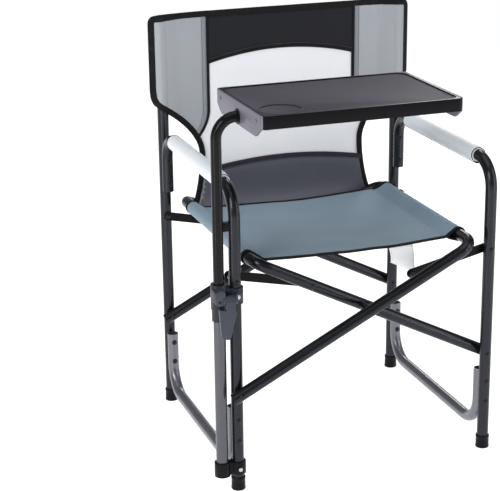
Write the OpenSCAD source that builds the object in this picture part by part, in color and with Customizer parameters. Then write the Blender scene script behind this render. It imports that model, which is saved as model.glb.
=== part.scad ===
// Folding director chair with a swing-out side table.
// Millimetres. +Z is up, the sitter faces -Y and the table's pole stands at the -X side.
// The design is drawn about the front legs' plane, and placed() moves it so that the origin
// is the bottom centre of the whole chair's box.

/* [Side frames] */
// Distance between the two side frames, tube axis to tube axis
leg_spacing = 570; // [540:5:620]
// Distance from the front leg to the back post, axis to axis
frame_depth = 493; // [460:1:530]
// Outside diameter of the frame tubes
tube_od = 25; // [22:0.5:28]
// Wall thickness of the frame tubes
tube_wall = 1.2; // [1:0.1:2]
// Height of the armrest tube's axis
arm_height = 651; // [630:1:680]
// Bend radius where the front leg turns into the armrest
arm_bend = 60; // [45:1:70]
// Bend radius of the armrest's back corner
corner_bend = 50; // [40:1:60]
// Bend radius of the lower stretcher
stretcher_bend = 63; // [50:1:63]
// Height of the back posts
post_height = 911; // [880:1:940]
// Height of the lower stretcher's run
stretcher_height = 42; // [36:1:60]
// Height of the stretcher's open ends
stretcher_top = 178; // [172:1:190]
// Height at which the armrest tube ends in front of the back post
arm_tail = 524; // [515:1:535]

/* [Scissor seat frames] */
// Height of the scissor's lower pivots on the legs
pivot_height = 222; // [216:1:232]
// Height at which the two seat frames cross, chair open
cross_height = 366.5; // [355:0.5:375]
// Distance from the crossing to the seat rail, along the tube
rail_reach = 264; // [255:1:267]
// Bend radius of the seat frames
rail_bend = 35; // [32:1:38]
// Height of the link bars' pivots on the legs
link_height = 461; // [455:1:470]
// Distance from the crossing to the link's rivet, along the tube
link_reach = 124; // [115:1:130]
// Gap between tubes that turn past each other
turn_gap = 0.4; // [0.3:0.1:1]

/* [Fabric] */
// Depth of the seat cloth
seat_depth = 405; // [380:5:415]
// How far the seat cloth sags in the middle
seat_sag = 12; // [5:1:25]
// Half width of the back cloth's middle, at the wings' seams
back_seam_x = 176; // [160:1:190]
// Half width of the back cloth's waist
waist_x = 197; // [185:1:205]
// Top edge of the back cloth
back_top = 921; // [915:1:940]
// Bottom edge of the back cloth
back_bottom = 452; // [445:1:470]
// Diameter of the armrest pads
pad_d = 36; // [34:1:40]
// Length of the armrest pads
pad_length = 350; // [320:5:355]

/* [Side table] */
// Length of the table top, plates included
table_length = 420; // [380:5:440]
// Depth of the table top
table_depth = 275; // [240:5:290]
// Height of the table top
table_height = 828; // [815:1:840]
// Distance from the front leg's axis to the pole's axis
pole_offset = 34.5; // [33:0.5:38]
// Diameter of the pole
pole_od = 22; // [20:0.5:22]
// Bend radius at the top of the pole
pole_bend = 43; // [38:1:43]

/* [Hidden] */
$fn = 48;

tube_r = tube_od / 2;
leg_x = leg_spacing / 2;
// Tubes side by side, axis to axis
side_step = tube_od + turn_gap;
post_y = frame_depth;
arm_tail_y = post_y - side_step;
stretcher_front_y = side_step;
stretcher_back_y = post_y - side_step;
frame_rivet_heights = [111.5, 158.5];
arm_rivet_heights = [541, 594];
// Where the armrest tube's two drawn halves overlap, before its back end
arm_lap_from = 90;
arm_lap = 10;

rivet_r = 3;
// Radial play of a pivot rivet in its tube
pivot_play = 0.05;
head_r = 6;
head_h = 2.4;

// The scissor: lean of the tubes from upright, and distances along a tube from its lower pivot
lean = atan2(leg_x, cross_height - pivot_height);
to_cross = norm([leg_x, cross_height - pivot_height]);
to_rail = to_cross + rail_reach;
to_link = to_cross + link_reach;
pivot_tail = 18;
rail_x = rail_reach * sin(lean);
rail_z = cross_height + rail_reach * cos(lean);
link_rivet_x = link_reach * sin(lean);
link_rivet_z = cross_height + link_reach * cos(lean);
link_length = norm([leg_x - link_rivet_x, link_height - link_rivet_z]);
link_drop = atan2(link_height - link_rivet_z, leg_x - link_rivet_x);
link_w = 19;
link_t = 3.5;
// Behind frame A's tube, and just behind the leg
outer_link_y = side_step + tube_r + turn_gap;
inner_link_y = tube_r + turn_gap;
spacer_r = 6.5;

foot_r = 15;
foot_h = 30;
foot_floor = 4;

pole_x = -(leg_x + pole_offset);
pole_r = pole_od / 2;
slide_play = 0.05;
sleeve_bottom = 42;
sleeve_top = 446;
socket_r = 16.5;
clamp_top = 460;
clamp_bottom = 408;
clamp_r = 17;
leg_ring_r = 16.5;
plug_bottom = 330;
pole_bottom = 352;
lever_x = pole_x + 13;
lever_y = -28;
lever_z = 433;
lever_w = 20;
ear_t = 5;
pin_l = lever_w + 2 * ear_t + 2 * turn_gap;
screw_head_r = 5;
screw_head_h = 3;
clamp_boss = 5;
ring_bottom = 416;
ring_h = 34;
apron_h = 26;
socket_floor = 36;
socket_h = 31;
socket_screw_r = 4.5;
socket_screw_z = 50;
socket_boss = 3;
saddle_bottom = 569;
saddle_h = 18;
saddle_w = 12;

// The straight part of the pole starts a little before the table's near end
table_x = pole_x + 46;
arm_tube_z = table_height - 28;
plate_t = 4;
plate_drop = 45;
rim_h = 26;
rim_t = 2.5;
tray_floor = 3;
tray_lip = 2.5;
tray_corner = 22;
skirt_corner = 5.5;
table_corner = 12;
tray_border = 5;
cup_r = 43;
cup_x = table_x + 59;
cup_y = 56.5 - table_depth / 2;
cup_depth = 1.2;
plate_cut = 34;
plate_shoulder = 22;
plate_round = 14;
bush_play = 1.5;
flange_t = 2.5;
button_r = 7;
button_in = 12;
// The arm tube's far end, past the table's far plate
tube_end_x = table_x + table_length + 2;

seat_front = (frame_depth - seat_depth) / 2;
cloth_t = 2;
sleeve_r = tube_r + 0.3;
pad_front = arm_bend + 2;

waist_z = 607;
arm_flare = 106;
arm_flare_h = 110;
hem_flare = 14;
seam_tail_z = 700;
seam_tail_h = 69;
seam_tail = 30;
wing_edge_x = leg_x + 27;
pocket_bottom = 716;
wing_top = 917;
flange_bottom = 745;
top_panel_arc = 24;
top_panel_low = 829;
lumbar_top = 575;
lumbar_arc = 20;

// The whole box, for the origin
x_low = pole_x - clamp_r;
x_high = wing_edge_x;
y_low = -table_depth / 2;
y_high = post_y + side_step + tube_r + turn_gap / 2 + head_h;

function unit(v) = v / norm(v);
function turn_at(p, i) = acos(unit(p[i] - p[i - 1]) * unit(p[i + 1] - p[i]));
function side_at(p, i) = sign(cross(p[i] - p[i - 1], p[i + 1] - p[i]));
// How much a bend takes from the straight on each side of its corner
function trim_at(p, i, r) = i <= 0 || i >= len(p) - 1 ? 0 : r * tan(turn_at(p, i) / 2);
// The same path with both ends run out by some length
function longer(p, by) = [for (i = [0 : len(p) - 1])
    i == 0 ? p[0] - unit(p[1] - p[0]) * by :
    i == len(p) - 1 ? p[i] + unit(p[i] - p[i - 1]) * by : p[i]];

module placed() {
    translate([-(x_low + x_high) / 2, -(y_low + y_high) / 2, 0]) children();
}

module mirrored() {
    mirror([1, 0, 0]) children();
}

// Half a turn about the chair's upright middle line: it carries seat frame B onto seat frame A
module half_turn() {
    translate([0, frame_depth, 0]) rotate([0, 0, 180]) children();
}

// From the XY plane to an upright plane across X: X becomes Y, and Y becomes Z
module upright_plane(x) {
    translate([x, 0, 0]) rotate([90, 0, 90]) children();
}

// Round rod along a path in the XY plane, with round bends
module bent_rod(p, r, d) {
    for (i = [0 : len(p) - 2]) {
        run = unit(p[i + 1] - p[i]);
        from = p[i] + run * trim_at(p, i, r);
        to = p[i + 1] - run * trim_at(p, i + 1, r);
        translate([from.x, from.y, 0]) rotate([0, 0, atan2(run.y, run.x)]) rotate([0, 90, 0])
            cylinder(d = d, h = norm(to - from));
    }
    for (i = [1 : 1 : len(p) - 2]) {
        run = unit(p[i] - p[i - 1]);
        start = p[i] - run * trim_at(p, i, r);
        middle = start + side_at(p, i) * r * [-run.y, run.x];
        spoke = start - middle;
        first = atan2(spoke.y, spoke.x) - (side_at(p, i) < 0 ? turn_at(p, i) : 0);
        translate([middle.x, middle.y, 0]) rotate([0, 0, first])
            rotate_extrude(angle = turn_at(p, i)) translate([r, 0]) circle(d = d);
    }
}

module bent_tube(p, r, od, wall) {
    difference() {
        bent_rod(p, r, od);
        bent_rod(longer(p, 1), r, od - 2 * wall);
    }
}

// Hole or pin along Y
module y_rod(x, z, y_from, y_to, r) {
    translate([x, y_to, z]) rotate([90, 0, 0]) cylinder(r = r, h = y_to - y_from);
}

module y_rivet(x, z, y_from, y_to) {
    y_rod(x, z, y_from - head_h, y_to + head_h, rivet_r);
    y_rod(x, z, y_from - head_h, y_from, head_r);
    y_rod(x, z, y_to, y_to + head_h, head_r);
}

// ---- Side frames, drawn for the right side at -X ----

// The front leg with the armrest's front part, and the armrest's back part down to its end
function leg_path(low) = [[0, low], [0, arm_height], [arm_tail_y - arm_lap_from + arm_lap, arm_height]];
function tail_path(low) = [[arm_tail_y - arm_lap_from, arm_height], [arm_tail_y, arm_height], [arm_tail_y, low]];

module arm_tube() {
    color("#5b5c61") difference() {
        upright_plane(-leg_x) difference() {
            union() {
                bent_rod(leg_path(foot_floor), arm_bend, tube_od);
                bent_rod(tail_path(arm_tail), corner_bend, tube_od);
            }
            bent_rod(leg_path(foot_floor - 1), arm_bend, tube_od - 2 * tube_wall);
            bent_rod(tail_path(arm_tail - 1), corner_bend, tube_od - 2 * tube_wall);
        }
        for (z = concat(frame_rivet_heights, [pivot_height, link_height]))
            y_rod(-leg_x, z, -tube_od, tube_od, rivet_r);
        for (z = arm_rivet_heights)
            y_rod(-leg_x, z, arm_tail_y - tube_od, arm_tail_y + tube_od, rivet_r);
    }
}

module back_post() {
    color("#5b5c61") difference() {
        translate([-leg_x, post_y, foot_floor]) difference() {
            cylinder(d = tube_od, h = post_height - foot_floor);
            translate([0, 0, -1]) cylinder(d = tube_od - 2 * tube_wall, h = post_height);
        }
        for (z = concat(frame_rivet_heights, arm_rivet_heights, [pivot_height, link_height]))
            y_rod(-leg_x, z, post_y - tube_od, post_y + tube_od, rivet_r);
    }
}

module stretcher() {
    color("#8d8e95") difference() {
        upright_plane(-leg_x) bent_tube([[stretcher_front_y, stretcher_top], [stretcher_front_y, stretcher_height],
            [stretcher_back_y, stretcher_height], [stretcher_back_y, stretcher_top]],
            stretcher_bend, tube_od, tube_wall);
        for (z = frame_rivet_heights)
            y_rod(-leg_x, z, 0, frame_depth, rivet_r);
    }
}

module frame_rivets() {
    color("#1c1c1f") {
        for (z = frame_rivet_heights) {
            y_rivet(-leg_x, z, -tube_r, stretcher_front_y + tube_r);
            y_rivet(-leg_x, z, stretcher_back_y - tube_r, post_y + tube_r);
        }
        for (z = arm_rivet_heights)
            y_rivet(-leg_x, z, arm_tail_y - tube_r, post_y + tube_r);
    }
}

module foot(y) {
    color("#141416") translate([-leg_x, y, 0]) difference() {
        cylinder(r = foot_r, h = foot_h);
        translate([0, 0, foot_floor]) cylinder(r = tube_r, h = foot_h);
    }
}

module post_cap() {
    plug_h = 12;
    color("#141416") translate([-leg_x, post_y, post_height]) {
        translate([0, 0, -plug_h]) cylinder(r = tube_r - tube_wall, h = plug_h);
        cylinder(r = tube_r, h = 3);
    }
}

module arm_pad() {
    color("#e4e9ec") upright_plane(-leg_x) translate([pad_front, arm_height, 0]) rotate([0, 90, 0]) difference() {
        cylinder(d = pad_d, h = pad_length);
        translate([0, 0, -1]) cylinder(r = tube_r, h = pad_length + 2);
    }
}

// Closing strip under the pad
module pad_strip() {
    strip_w = 16;
    strip_t = 1.6;
    color("#1b1b1e") translate([-leg_x - strip_w / 2, pad_front, arm_height - pad_d / 2 - strip_t]) difference() {
        cube([strip_w, pad_length, strip_t + 2]);
        translate([strip_w / 2, -1, pad_d / 2 + strip_t]) rotate([-90, 0, 0])
            cylinder(d = pad_d, h = pad_length + 2);
    }
}

// Rivets that the scissor's lower ends and the links turn on, fixed in the side frame
module right_pivots() {
    color("#1c1c1f") {
        y_rivet(-leg_x, pivot_height, -side_step - tube_r - turn_gap / 2, tube_r);
        y_rivet(-leg_x, pivot_height, arm_tail_y - tube_r - turn_gap / 2, post_y + tube_r);
        y_rivet(-leg_x, link_height, -tube_r, outer_link_y + link_t + turn_gap / 2);
        y_rod(-leg_x, link_height, tube_r, outer_link_y - turn_gap / 2, spacer_r);
        y_rivet(-leg_x, link_height, post_y - inner_link_y - link_t - turn_gap / 2, post_y + tube_r);
    }
}

// ---- Scissor seat frames ----

module seat_frame() {
    color("#4a4b50") translate([-leg_x, 0, pivot_height]) rotate([0, lean, 0]) difference() {
        upright_plane(0) bent_tube([[-side_step, -pivot_tail], [-side_step, to_rail],
            [frame_depth - side_step, to_rail], [frame_depth - side_step, -pivot_tail]],
            rail_bend, tube_od, tube_wall);
        for (s = [0, to_cross])
            y_rod(0, s, -2 * side_step, frame_depth, rivet_r + pivot_play);
        y_rod(0, to_link, -2 * side_step, frame_depth, rivet_r);
    }
}

// Rivets and bushes at the crossings, fixed in seat frame B
module cross_rivet_pair() {
    color("#1c1c1f") for (y = [0, post_y])
        y_rivet(0, cross_height, y - side_step - tube_r - turn_gap / 2, y + side_step + tube_r + turn_gap / 2);
}

module cross_bush_pair() {
    bush_r = 8;
    color("#222225") for (y = [0, post_y]) difference() {
        y_rod(0, cross_height, y - inner_link_y + turn_gap / 2, y + inner_link_y - turn_gap / 2, bush_r);
        y_rod(0, cross_height, y - tube_od, y + tube_od, rivet_r + pivot_play);
    }
}

// Rivets left in seat frame B where the links end against it, their heads on the other side
module link_rivets() {
    front = -side_step - tube_r;
    back = arm_tail_y + tube_r;
    color("#1c1c1f") {
        y_rod(link_rivet_x, link_rivet_z, front - head_h, front + tube_od - turn_gap, rivet_r);
        y_rod(link_rivet_x, link_rivet_z, front - head_h, front, head_r);
        y_rod(link_rivet_x, link_rivet_z, back - tube_od + turn_gap, back + head_h, rivet_r);
        y_rod(link_rivet_x, link_rivet_z, back, back + head_h, head_r);
    }
}

// A flat bar along X from the leg's pivot at the origin to its far end, with a rivet hole
module link_bar() {
    difference() {
        union() {
            y_rod(0, 0, 0, link_t, link_w / 2);
            y_rod(link_length, 0, 0, link_t, link_w / 2);
            translate([0, 0, -link_w / 2]) cube([link_length, link_t, link_w]);
        }
        y_rod(0, 0, -1, link_t + 1, rivet_r + pivot_play);
    }
}

// Link of the right front leg: it reaches frame A's tube from behind
module right_front_link_bar() {
    color("#161618") translate([-leg_x, outer_link_y, link_height]) rotate([0, link_drop, 0]) {
        link_bar();
        y_rod(link_length, 0, link_t, link_t + head_h, head_r);
    }
}

// Link of the left front leg: a stub carries its far end to frame B's tube
module left_front_link_bar() {
    color("#161618") translate([leg_x, inner_link_y, link_height]) mirrored() rotate([0, link_drop, 0]) {
        link_bar();
        y_rod(link_length, 0, -2 * inner_link_y + turn_gap, 0, spacer_r);
        y_rod(link_length, 0, link_t, link_t + head_h, head_r);
    }
}

// ---- Table pole and its holders ----

module pole_sleeve_tube() {
    color("#85868d") translate([pole_x, 0, sleeve_bottom]) difference() {
        cylinder(d = tube_od, h = sleeve_top - sleeve_bottom);
        translate([0, 0, -1]) cylinder(r = pole_r + slide_play, h = sleeve_top);
    }
}

// Upright block between the pole and the leg, cut to both by their own holes
module web_block(y_front, y_back, z_from, z_to) {
    translate([pole_x, y_front, z_from]) cube([pole_offset, y_back - y_front, z_to - z_from]);
}

module pole_clamp_body() {
    ear_r = 10;
    block_x = pole_x - clamp_r;
    block_w = lever_x - lever_w / 2 - turn_gap - block_x;
    block_front = lever_y - 6;
    block_bottom = 424;
    block_h = 31;
    block_corner = 6;
    block_screw = [block_x + 8.5, 3, 3.4];
    boss_r = 9;
    web_w = 20;
    slot_depth = 23.5;
    slot_h = 28;
    apron_r = clamp_r - 1.5;
    apron_bottom = clamp_bottom - apron_h;
    color("#2a2d33") difference() {
        union() {
            translate([pole_x, 0, clamp_bottom]) cylinder(r = clamp_r, h = clamp_top - clamp_bottom);
            translate([-leg_x, 0, ring_bottom]) cylinder(r = leg_ring_r, h = ring_h);
            web_block(-web_w / 2, web_w / 2, ring_bottom, ring_bottom + ring_h);
            translate([-leg_x, 0, lever_z]) rotate([90, 0, 0])
                cylinder(r = boss_r, h = tube_r + clamp_boss + screw_head_h - 1);
            for (side = [-1, 1]) {
                ear_x = lever_x + side * (lever_w / 2 + turn_gap) - (side < 0 ? ear_t : 0);
                translate([ear_x, lever_y, lever_z]) rotate([0, 90, 0]) cylinder(r = ear_r, h = ear_t);
                translate([ear_x, lever_y, lever_z - ear_r]) cube([ear_t, 2 * ear_r, 2 * ear_r]);
            }
            translate([block_x, 0, block_bottom]) rotate([90, 0, 0]) linear_extrude(-block_front)
                offset(r = block_corner) offset(delta = -block_corner) square([block_w, block_h]);
            translate([pole_x, 0, apron_bottom]) intersection() {
                cylinder(r = apron_r, h = apron_h + 1);
                translate([-clamp_r, -clamp_r, 0]) cube([clamp_r - 2, 2 * clamp_r, apron_h + 1]);
            }
        }
        translate([pole_x, 0, apron_bottom - 1]) cylinder(r = tube_r, h = sleeve_top - apron_bottom + 1);
        translate([pole_x, 0, clamp_bottom]) cylinder(r = pole_r + 2 * slide_play, h = clamp_top);
        translate([-leg_x, 0, apron_bottom]) cylinder(r = tube_r, h = clamp_top - apron_bottom + 1);
        translate([lever_x - lever_w / 2 - turn_gap, lever_y - slot_depth / 2, lever_z - slot_h / 2])
            cube([lever_w + 2 * turn_gap, slot_depth, slot_h]);
        translate([lever_x - pin_l / 2, lever_y, lever_z]) rotate([0, 90, 0]) cylinder(r = rivet_r, h = pin_l);
        translate([block_screw.x, block_front - 1, lever_z]) rotate([-90, 0, 0])
            cylinder(r = block_screw.y, h = block_screw.z + 1);
        translate([-leg_x, -tube_r - clamp_boss, lever_z]) rotate([90, 0, 0])
            cylinder(r = screw_head_r, h = screw_head_h);
    }
}

module pole_socket_body() {
    boss_r = 8;
    web_w = 18;
    ring_floor = socket_floor + 2;
    color("#17171a") difference() {
        union() {
            translate([pole_x, 0, socket_floor]) cylinder(r = socket_r, h = socket_h);
            translate([-leg_x, 0, ring_floor]) cylinder(r = leg_ring_r, h = socket_h - 4);
            web_block(-web_w / 2, web_w / 2, ring_floor, ring_floor + socket_h - 4);
            translate([-leg_x, 0, socket_screw_z]) rotate([90, 0, 0])
                cylinder(r = boss_r, h = tube_r + socket_boss + 2);
        }
        translate([pole_x, 0, sleeve_bottom]) cylinder(r = tube_r, h = socket_h);
        translate([-leg_x, 0, socket_floor - 1]) cylinder(r = tube_r, h = 2 * socket_h);
        translate([-leg_x, stretcher_front_y, socket_floor - 1]) cylinder(r = tube_r + 1.5, h = 2 * socket_h);
        translate([-leg_x, -tube_r - socket_boss, socket_screw_z]) rotate([90, 0, 0])
            cylinder(r = socket_screw_r, h = screw_head_h);
    }
}

// Small saddle on the leg that steadies the pole
module pole_saddle_pad() {
    color("#17171a") difference() {
        web_block(-saddle_w / 2, saddle_w / 2, saddle_bottom, saddle_bottom + saddle_h);
        translate([pole_x, 0, saddle_bottom - 1]) cylinder(r = pole_r + 0.3, h = saddle_h + 2);
        translate([-leg_x, 0, saddle_bottom - 1]) cylinder(r = tube_r, h = saddle_h + 2);
    }
}

module clamp_screw_set() {
    color("#3b3d42") {
        translate([-leg_x, -tube_r - clamp_boss, lever_z]) rotate([90, 0, 0])
            cylinder(r = screw_head_r, h = screw_head_h);
        translate([-leg_x, -tube_r - socket_boss, socket_screw_z]) rotate([90, 0, 0])
            cylinder(r = socket_screw_r, h = screw_head_h);
    }
}

module lever_pin_rod() {
    color("#9a9ca1") translate([lever_x - pin_l / 2, lever_y, lever_z]) rotate([0, 90, 0])
        cylinder(r = rivet_r, h = pin_l);
}

// Cam lever: a round cam, a waist and a long tapering blade
module lever_body() {
    cam_r = 9.5;
    blade_z = 352;
    blade_top = 418;
    blade_tilt = 9;
    blade_front = lever_y - 11;
    blade_t = 8;
    color("#3c3f48") difference() {
        union() {
            translate([lever_x - lever_w / 2, lever_y, lever_z]) rotate([0, 90, 0]) cylinder(r = cam_r, h = lever_w);
            translate([lever_x - lever_w / 2, blade_front, lever_z - 34]) cube([lever_w, blade_t + 2, 34]);
            translate([lever_x, blade_front + blade_t, 0]) rotate([90, 0, 0]) linear_extrude(blade_t)
                polygon([[-25, blade_top], [13, blade_top - blade_tilt], [-1, blade_z + 4], [-5, blade_z],
                    [-16, blade_z + 2], [-21, blade_z + blade_tilt]]);
        }
        translate([lever_x - lever_w, lever_y, lever_z]) rotate([0, 90, 0])
            cylinder(r = rivet_r + pivot_play, h = 2 * lever_w);
    }
}

module pole_plug_body() {
    spigot_r = pole_r - tube_wall - slide_play;
    color("#26262a") translate([pole_x, 0, plug_bottom]) {
        cylinder(r = pole_r, h = pole_bottom - plug_bottom - 0.5);
        cylinder(r = spigot_r, h = pole_bottom - plug_bottom + 24);
    }
}

// Pole and table arm, one bent tube
module table_pole_tube() {
    color("#17171a") rotate([90, 0, 0])
        bent_tube([[pole_x, pole_bottom], [pole_x, arm_tube_z], [tube_end_x, arm_tube_z]],
            pole_bend, pole_od, tube_wall);
}

// ---- Table top ----

module round_plate(x_from, x_to, depth, corner, h) {
    r = corner;
    translate([x_from, -depth / 2 + r, 0]) cube([x_to - x_from, depth - 2 * r, h]);
    translate([x_from + r, -depth / 2, 0]) cube([x_to - x_from - 2 * r, depth, h]);
    for (x = [x_from + r, x_to - r], y = [r - depth / 2, depth / 2 - r])
        translate([x, y, 0]) cylinder(r = r, h = h);
}

// The table's outline from above, plates included
module table_outline(h) {
    round_plate(table_x, table_x + table_length, table_depth, table_corner, h);
}

module tray_body() {
    x_from = table_x + plate_t;
    x_to = table_x + table_length - plate_t;
    low = table_height - rim_h;
    hollow_h = rim_h - tray_lip - tray_floor + 1;
    notch = 6;
    color("#4d4c56") difference() {
        intersection() {
            translate([0, 0, low]) table_outline(rim_h);
            translate([x_from, -table_depth, low]) cube([x_to - x_from, 2 * table_depth, rim_h]);
        }
        translate([0, 0, low - 1])
            round_plate(x_from + rim_t, x_to - rim_t, table_depth - 2 * rim_t, skirt_corner, hollow_h);
        translate([0, 0, table_height - tray_lip]) round_plate(x_from + tray_border, x_to - tray_border,
            table_depth - 2 * tray_border, tray_corner, rim_h);
        translate([cup_x, cup_y, table_height - tray_lip - cup_depth]) cylinder(r = cup_r, h = rim_h);
        for (x = [x_from - 1, x_to + 1 - notch])
            translate([x, 0, arm_tube_z]) rotate([0, 90, 0]) cylinder(r = pole_r + bush_play, h = notch);
    }
}

// End plate: an upright sheet within the table's outline, with its lower corners cut away and rounded
module end_plate(x) {
    half = table_depth / 2;
    shoulder = table_height - plate_shoulder;
    low = table_height - plate_drop;
    above = table_height + 2 * plate_round;
    color("#8c8a96") difference() {
        intersection() {
            upright_plane(x) linear_extrude(plate_t) offset(r = plate_round) offset(delta = -plate_round)
                polygon([[-half, above], [-half, shoulder], [plate_cut - half, low], [half - plate_cut, low],
                    [half, shoulder], [half, above]]);
            translate([0, 0, low - 1]) table_outline(plate_drop + 1);
        }
        translate([x - 1, 0, arm_tube_z]) rotate([0, 90, 0]) cylinder(r = pole_r + bush_play, h = plate_t + 2);
    }
}

// Bush through an end plate that the arm tube turns in, with its flange at the outside
module grommet(x, flange_x) {
    flange_r = pole_r + 4;
    difference() {
        union() {
            translate([min(x, flange_x), 0, arm_tube_z]) rotate([0, 90, 0])
                cylinder(r = pole_r + bush_play, h = plate_t + flange_t);
            translate([flange_x, 0, arm_tube_z]) rotate([0, 90, 0]) cylinder(r = flange_r, h = flange_t);
        }
        translate([flange_x - 2 * plate_t, 0, arm_tube_z]) rotate([0, 90, 0])
            cylinder(r = pole_r + slide_play, h = 4 * plate_t);
    }
}

module grommet_pair() {
    far_x = table_x + table_length;
    color("#17171a") {
        grommet(table_x, table_x - flange_t);
        grommet(far_x - plate_t, far_x);
    }
}

// Screws through the end plates into the tray
module table_screw_set() {
    in_y = table_depth / 2 - 30;
    head_t = 1.5;
    color("#3b3d42") for (y = [-in_y, in_y], x = [table_x - head_t, table_x + table_length])
        translate([x, y, table_height - 14]) rotate([0, 90, 0]) cylinder(r = 3.5, h = head_t);
}

// The button's housing closes the arm tube's far end
module button_housing_plug() {
    plug_l = 30;
    bore_l = 24;
    lip = 2;
    color("#26262a") translate([tube_end_x, 0, arm_tube_z]) rotate([0, 90, 0]) difference() {
        union() {
            translate([0, 0, -plug_l]) cylinder(r = pole_r - tube_wall, h = plug_l);
            cylinder(r = pole_r, h = lip);
        }
        translate([0, 0, -bore_l]) cylinder(r = button_r + slide_play, h = bore_l + lip + 1);
    }
}

module button_spring_coil() {
    spring_l = 11.8;
    color("#b9bbc0") translate([tube_end_x - button_in - spring_l - 0.1, 0, arm_tube_z]) rotate([0, 90, 0])
        difference() {
            cylinder(r = button_r - 1, h = spring_l);
            translate([0, 0, -1]) cylinder(r = button_r - 2.2, h = spring_l + 2);
        }
}

module button_cap() {
    color("#e8743f") translate([tube_end_x - button_in, 0, arm_tube_z]) rotate([0, 90, 0])
        cylinder(r = button_r, h = button_in + 9);
}

// ---- Seat cloth ----

function seat_top(x) = rail_z + sleeve_r + cloth_t - seat_sag * (1 - pow(x / rail_x, 2));

module seat_sheet(y_from, y_to, thick) {
    across = [for (i = [-8 : 8]) i * rail_x / 8];
    translate([0, y_to, 0]) rotate([90, 0, 0]) linear_extrude(y_to - y_from)
        polygon(concat([for (x = across) [x, seat_top(x)]], [for (i = [8 : -1 : -8])
            [i * rail_x / 8, seat_top(i * rail_x / 8) - thick]]));
}

module rail_sleeve(x, y_from, y_to) {
    difference() {
        y_rod(x, rail_z, y_from, y_to, sleeve_r + cloth_t);
        y_rod(x, rail_z, y_from - 1, y_to + 1, sleeve_r);
    }
}

module seat_cloth() {
    straight_from = rail_bend + side_step;
    color("#8296a3") {
        seat_sheet(seat_front, frame_depth - seat_front, cloth_t);
        rail_sleeve(-rail_x, straight_from, frame_depth - seat_front);
        rail_sleeve(rail_x, seat_front, frame_depth - straight_from);
    }
}

module seat_binding_strip() {
    color("#1b1b1e") seat_sheet(seat_front - 2.5, seat_front, cloth_t);
}

module seat_label_tag() {
    tag = [72, 1, 78];
    tag_x = 62;
    color("#f1f2f3") translate([tag_x, seat_front, seat_top(tag_x) - cloth_t - tag.z]) cube(tag);
}

// ---- Back cloth ----

// Half width of the back cloth below the armrest's height, and of its middle panels
function edge_x(z) = waist_x + (z > waist_z ? arm_flare * pow((z - waist_z) / arm_flare_h, 2) :
    hem_flare * pow((waist_z - z) / (waist_z - back_bottom), 2));
function seam_x(z) = back_seam_x + (z < seam_tail_z ? seam_tail * pow((seam_tail_z - z) / seam_tail_h, 2) : 0);
function middle_x(z) = min(edge_x(z), seam_x(z));
function top_arc(x) = top_panel_low - top_panel_arc * pow(x / back_seam_x, 2);
function lumbar_edge(x) = lumbar_top - lumbar_arc * pow(x / waist_x, 2);
function steps(from, to, n) = [for (i = [0 : n]) from + (to - from) * i / n];

module back_sheet(y_front, thick) {
    translate([0, y_front + thick, 0]) rotate([90, 0, 0]) linear_extrude(thick) children();
}

module top_panel() {
    corner = back_seam_x - 0.3;
    color("#1c1d21") back_sheet(post_y - 2, 4) polygon(concat(
        [for (x = steps(-corner, corner, 12)) [x, top_arc(x)]], [[corner, back_top], [-corner, back_top]]));
}

module mesh_panel() {
    arc_end = lumbar_edge(waist_x);
    seam_end = top_arc(back_seam_x);
    color("#d9dade") back_sheet(post_y - 1, 2) polygon(concat(
        [for (x = steps(-waist_x, waist_x, 12)) [x, lumbar_edge(x) + 0.3]],
        [for (z = steps(arc_end + 2, seam_end - 2, 16)) [middle_x(z) - 0.3, z]],
        [for (x = steps(back_seam_x - 0.3, 0.3 - back_seam_x, 12)) [x, top_arc(x) - 0.3]],
        [for (z = steps(seam_end - 2, arc_end + 2, 16)) [0.3 - middle_x(z), z]]));
}

module lumbar() {
    arc_end = lumbar_edge(waist_x);
    color("#4a4a52") back_sheet(post_y - 7, 9) polygon(concat(
        [for (x = steps(waist_x, -waist_x, 12)) [x, lumbar_edge(x)]],
        [for (z = steps(arc_end - 2, back_bottom, 6)) [-edge_x(z), z]],
        [for (z = steps(back_bottom, arc_end - 2, 6)) [edge_x(z), z]]));
}

// Wing: a pocket over the post, a narrow flange outside it and the sheet to the seam
module wing() {
    pocket_r = sleeve_r + cloth_t + 0.4;
    tip_z = 638;
    inner = leg_x - sleeve_r - 0.5;
    arm_z = 698;
    color("#b9bec2") {
        translate([-leg_x, post_y, pocket_bottom]) difference() {
            cylinder(r = pocket_r, h = wing_top - pocket_bottom);
            translate([0, 0, -1]) cylinder(r = sleeve_r, h = wing_top);
        }
        back_sheet(post_y - 2, 4) polygon(concat(
            [for (z = steps(tip_z, arm_z, 8)) [-edge_x(z), z]], [[-inner, pocket_bottom], [-inner, wing_top]],
            [for (z = steps(wing_top, tip_z, 20)) [-seam_x(z), z]]));
        translate([-wing_edge_x, post_y - 1.5, flange_bottom])
            cube([wing_edge_x - leg_x - sleeve_r - 0.2, 3, wing_top - flange_bottom]);
    }
}

placed() arm_tube();  // right_arm_tube
placed() back_post();  // right_back_post
placed() stretcher();  // right_stretcher
placed() frame_rivets();  // right_frame_rivets
placed() foot(0);  // right_front_foot
placed() foot(post_y);  // right_back_foot
placed() post_cap();  // right_post_cap
placed() arm_pad();  // right_arm_pad
placed() pad_strip();  // right_pad_strip
placed() mirrored() arm_tube();  // left_arm_tube
placed() mirrored() back_post();  // left_back_post
placed() mirrored() stretcher();  // left_stretcher
placed() mirrored() frame_rivets();  // left_frame_rivets
placed() mirrored() foot(0);  // left_front_foot
placed() mirrored() foot(post_y);  // left_back_foot
placed() mirrored() post_cap();  // left_post_cap
placed() mirrored() arm_pad();  // left_arm_pad
placed() mirrored() pad_strip();  // left_pad_strip
placed() half_turn() seat_frame();  // seat_frame_a
placed() seat_frame();  // seat_frame_b
placed() right_pivots();  // right_pivot_rivets
placed() half_turn() right_pivots();  // left_pivot_rivets
placed() cross_rivet_pair();  // cross_rivets
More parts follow.
